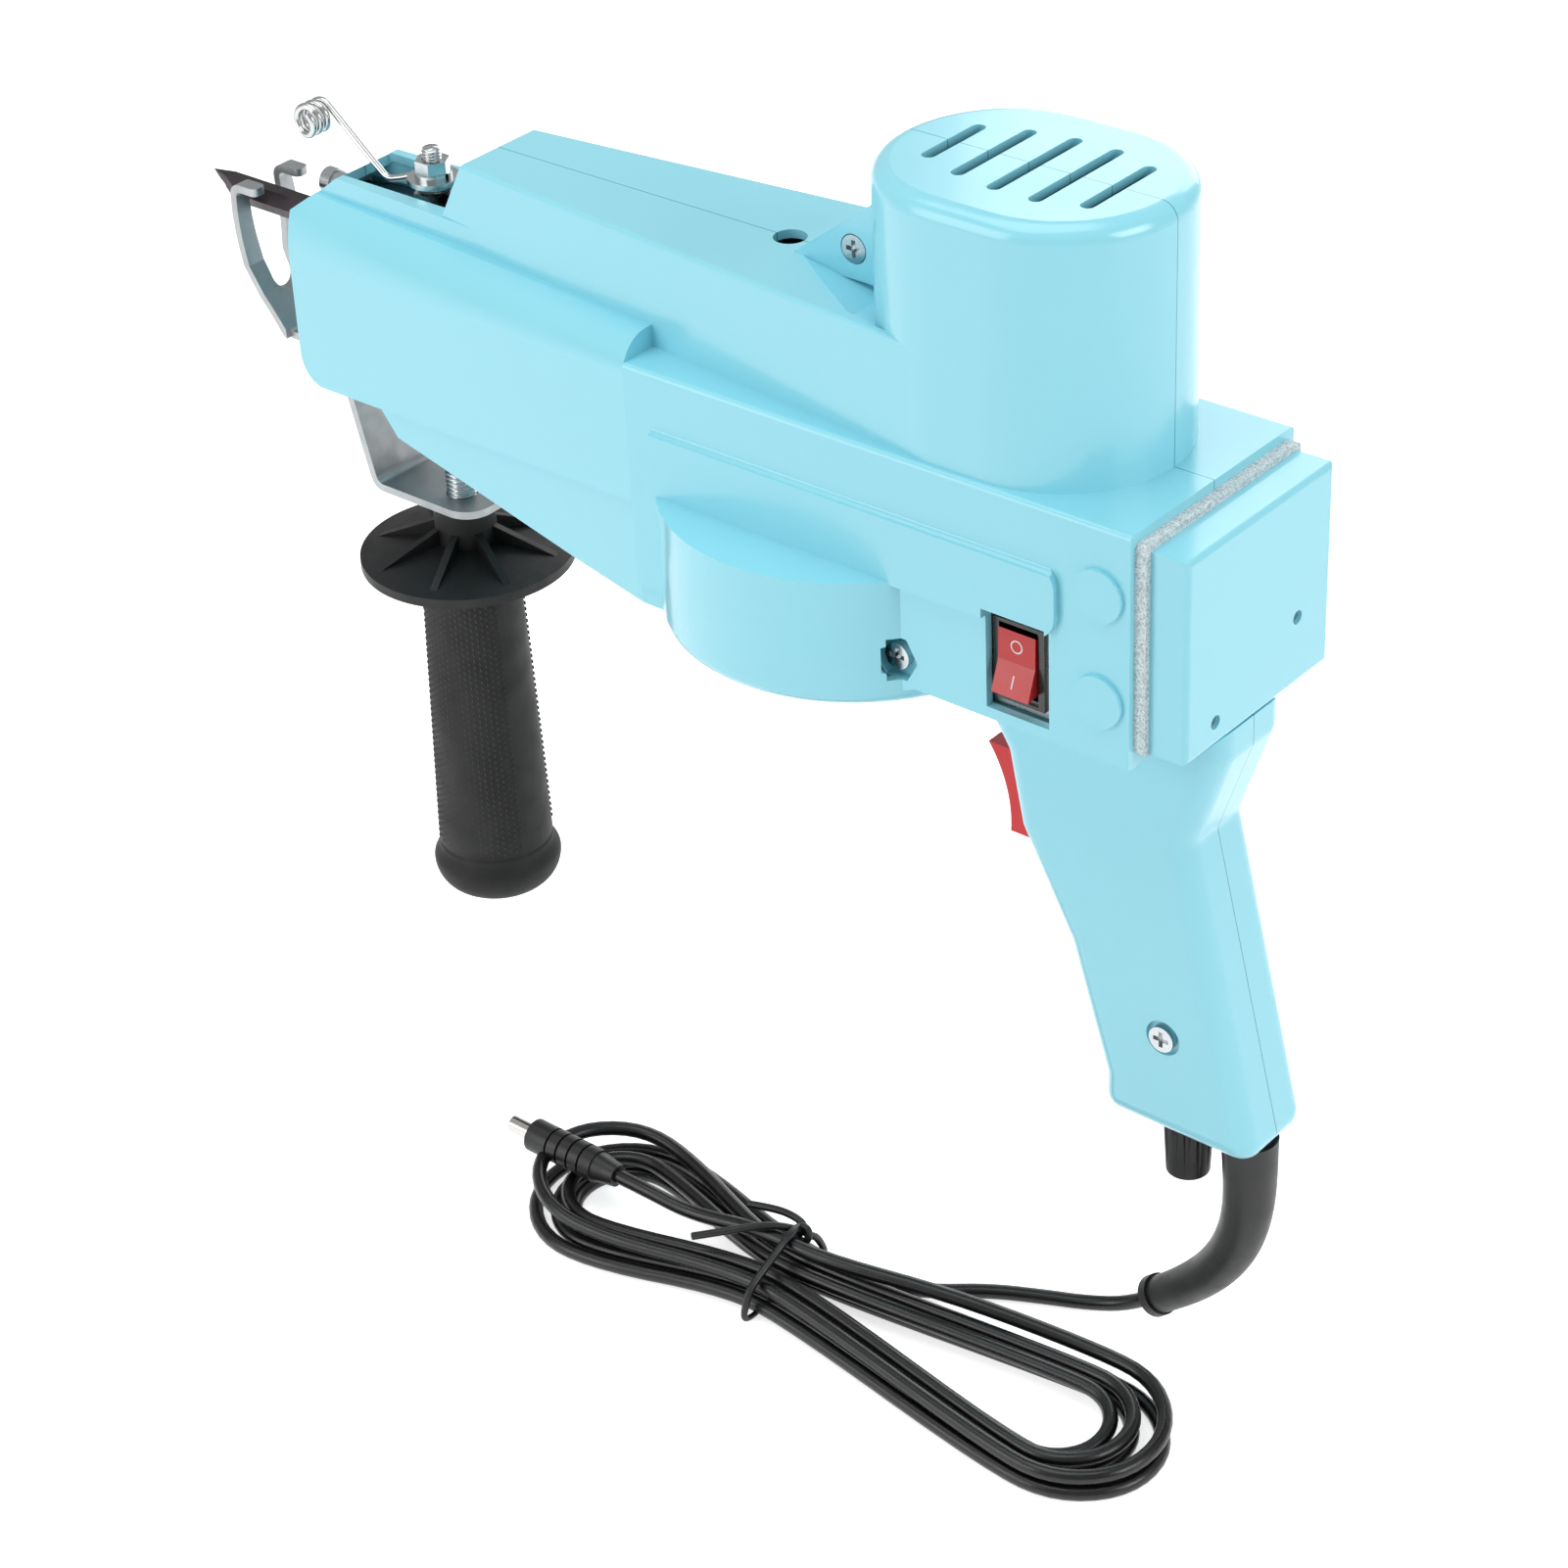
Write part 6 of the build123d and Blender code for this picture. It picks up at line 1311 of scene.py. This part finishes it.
@dataclass
class CordSet:
    """The lead, its hank in loose loops and the tie, in millimetres.

    Each loose and raised value is for one loop, counted from the lead.
    """

    tie: TwistTie = field(default_factory=TwistTie)
    diameter: float = 4.6
    length_m: float = 2.55
    resolution: int = 5
    bevel: int = 6
    floor_z: float = -139.2
    hank_y: float = -52.0
    hank_left_x: float = -199.0
    hank_right_x: float = 31.0
    lobe_half: float = 30.8
    lobe_step: float = 5.45
    waist_step: float = 5.7
    layer_step: float = 5.15
    top_step: float = 6.9
    start_nest: float = 2.75
    last_pass: int = 5
    tie_thickness: float = 1.3
    seat_gap: float = 0.3
    tie_start_x: float = -94.0
    tail_y: float = 4.0
    tail_middle_x: float = -140.0
    tail_end_x: float = -164.0
    tail_plug_y: float = -2.0
    plug_radius: float = 5.4
    plug_neck: float = 8.0
    lead_last_run: float = 14.0
    corner_share: float = 0.414
    tie_reach: float = 12.0
    loose_left: tuple[float, ...] = (2.0, 0.0, 0.0, 2.0, 7.0)
    loose_right: tuple[float, ...] = (6.0, 1.5, 0.0, 1.5, 5.0)
    loose_side: tuple[float, ...] = (0.0, 0.0, 0.0, 0.0, 3.0)
    raised_left: tuple[float, ...] = (0.0, 0.0, 0.0, 0.5, 6.0)
    climb_start: float = 21.0
    lead: tuple[Point, ...] = (
        (-4.0, 0.0, -125.4),
        (-12.45, 0.0, -132.81),
        (-25.0, -4.0, -136.2),
        (-38.0, -9.6, -136.4),
        (-53.0, -17.0, -136.6),
        (-66.0, -28.0, -136.2),
    )

    def nest(self, progress: float) -> float:
        """How many loops the hank has wound inwards after a number of loops, there and back."""
        return min(progress, 2 * self.start_nest - progress)

    def loop_points(self, loop: int) -> list[Point]:
        """The sixteen control points of one loop, from the tie on.

        Args:
            loop: Which loop, counted from the lead.

        Returns:
            Its control points.
        """
        left = self.hank_left_x + self.lobe_half
        right = self.hank_right_x - self.lobe_half
        flank, tie = self.corner_share, self.tie_reach
        shape = (
            (0.0, self.tie.x + tie, 0.0, 0.0),
            (0.0, self.tie.x - tie, 0.0, 0.0),
            (1.0, left, flank, 1.0),
            (1.5, left, -flank, 1.0),
            (1.8, left, -1.0, flank),
            (2.2, left, -1.0, -flank),
            (2.5, left, -flank, -1.0),
            (3.0, left, flank, -1.0),
            (4.0, self.tie.x - tie, 0.0, 0.0),
            (4.0, self.tie.x + tie, 0.0, 0.0),
            (5.0, right, -flank, -1.0),
            (5.5, right, flank, -1.0),
            (5.8, right, 1.0, -flank),
            (6.2, right, 1.0, flank),
            (6.5, right, flank, 1.0),
            (7.0, right, -flank, 1.0),
        )
        low = self.floor_z + self.diameter / 2
        lift = self.tie_thickness + self.seat_gap
        points = []
        for eighth, x, across, along in shape:
            nest = self.nest(loop + eighth / 8)
            lobe = self.lobe_half - self.diameter / 2 - self.lobe_step * nest
            climbed = min(1.0, max(0.0, (loop * 8 + eighth - self.climb_start) / 2))
            z = low + self.layer_step * climbed
            if along == 0.0:
                side = 1.0 if eighth < 2 else -1.0
                waist = self.waist_step * (self.start_nest - nest)
                points.append((x, self.hank_y + side * waist, z + lift))
            else:
                outward = -1.0 if x < self.tie.x else 1.0
                loose = self.loose_left if outward < 0 else self.loose_right
                share = (1 + outward * across) / 2
                raised = self.raised_left[loop] * share if outward < 0 else 0.0
                points.append((x + across * lobe + outward * loose[loop] * share,
                               self.hank_y + along * lobe + max(0.0, along) * self.loose_side[loop],
                               z + raised))
        return points

    def route(self) -> list[Point]:
        """Every control point from the boot to the plug.

        Returns:
            The control points.
        """
        radius = self.diameter / 2
        low = self.floor_z + radius
        lift = self.tie_thickness + self.seat_gap
        start_y = self.hank_y + self.start_nest * self.waist_step
        points = list(self.lead)
        points.append((self.tie_start_x + self.lead_last_run, start_y, low + lift))
        for loop in range(self.last_pass):
            turn = self.loop_points(loop)
            points += turn[1:] if loop == 0 else turn
        top = low + self.layer_step + self.top_step
        last_y = points[-1][1]
        right = self.hank_right_x - self.lobe_half
        points.append(((self.tie.x + right) / 2, (last_y + self.hank_y + self.tail_y) / 2, top))
        points.append((self.tie.x + self.tie_reach, self.hank_y + self.tail_y, top + lift))
        points.append((self.tie.x - self.tie_reach, self.hank_y + self.tail_y, top + lift))
        points.append((self.tail_middle_x, self.hank_y, top - lift))
        plug_z = low + self.layer_step + radius + self.seat_gap + self.plug_radius
        points.append((self.tail_end_x + self.plug_neck, self.hank_y + self.tail_plug_y, plug_z))
        points.append((self.tail_end_x - self.diameter, self.hank_y + self.tail_plug_y, plug_z))
        return points

    def build(self, finishes: Finishes) -> list[bpy.types.Object]:
        """Args:
            finishes: The materials.

        Returns:
            The tie and the cord.
        """
        tie = self.tie.build(finishes)
        points = self.route()
        cord = curve_piece("cord", points, self.diameter / 2, self.resolution, self.bevel)
        finishes.dress(cord, Look.JACKET)
        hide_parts("cord_lead", "cord_hank")
        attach(cord, "machine")
        return [tie, cord]


def main() -> None:
    """Builds and dresses the whole machine."""
    logging.basicConfig(level=logging.INFO, format="%(message)s")
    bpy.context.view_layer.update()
    Studio().build()
    finishes = Finishes()
    for assembly in (CadDress(), StudThreads(), SleeveKnurl(), RockerMarks(), CordSet()):
        for piece in assembly.build(finishes):
            log.info("%s: %s", type(assembly).__name__, piece.name)


if __name__ == "__main__":
    main()
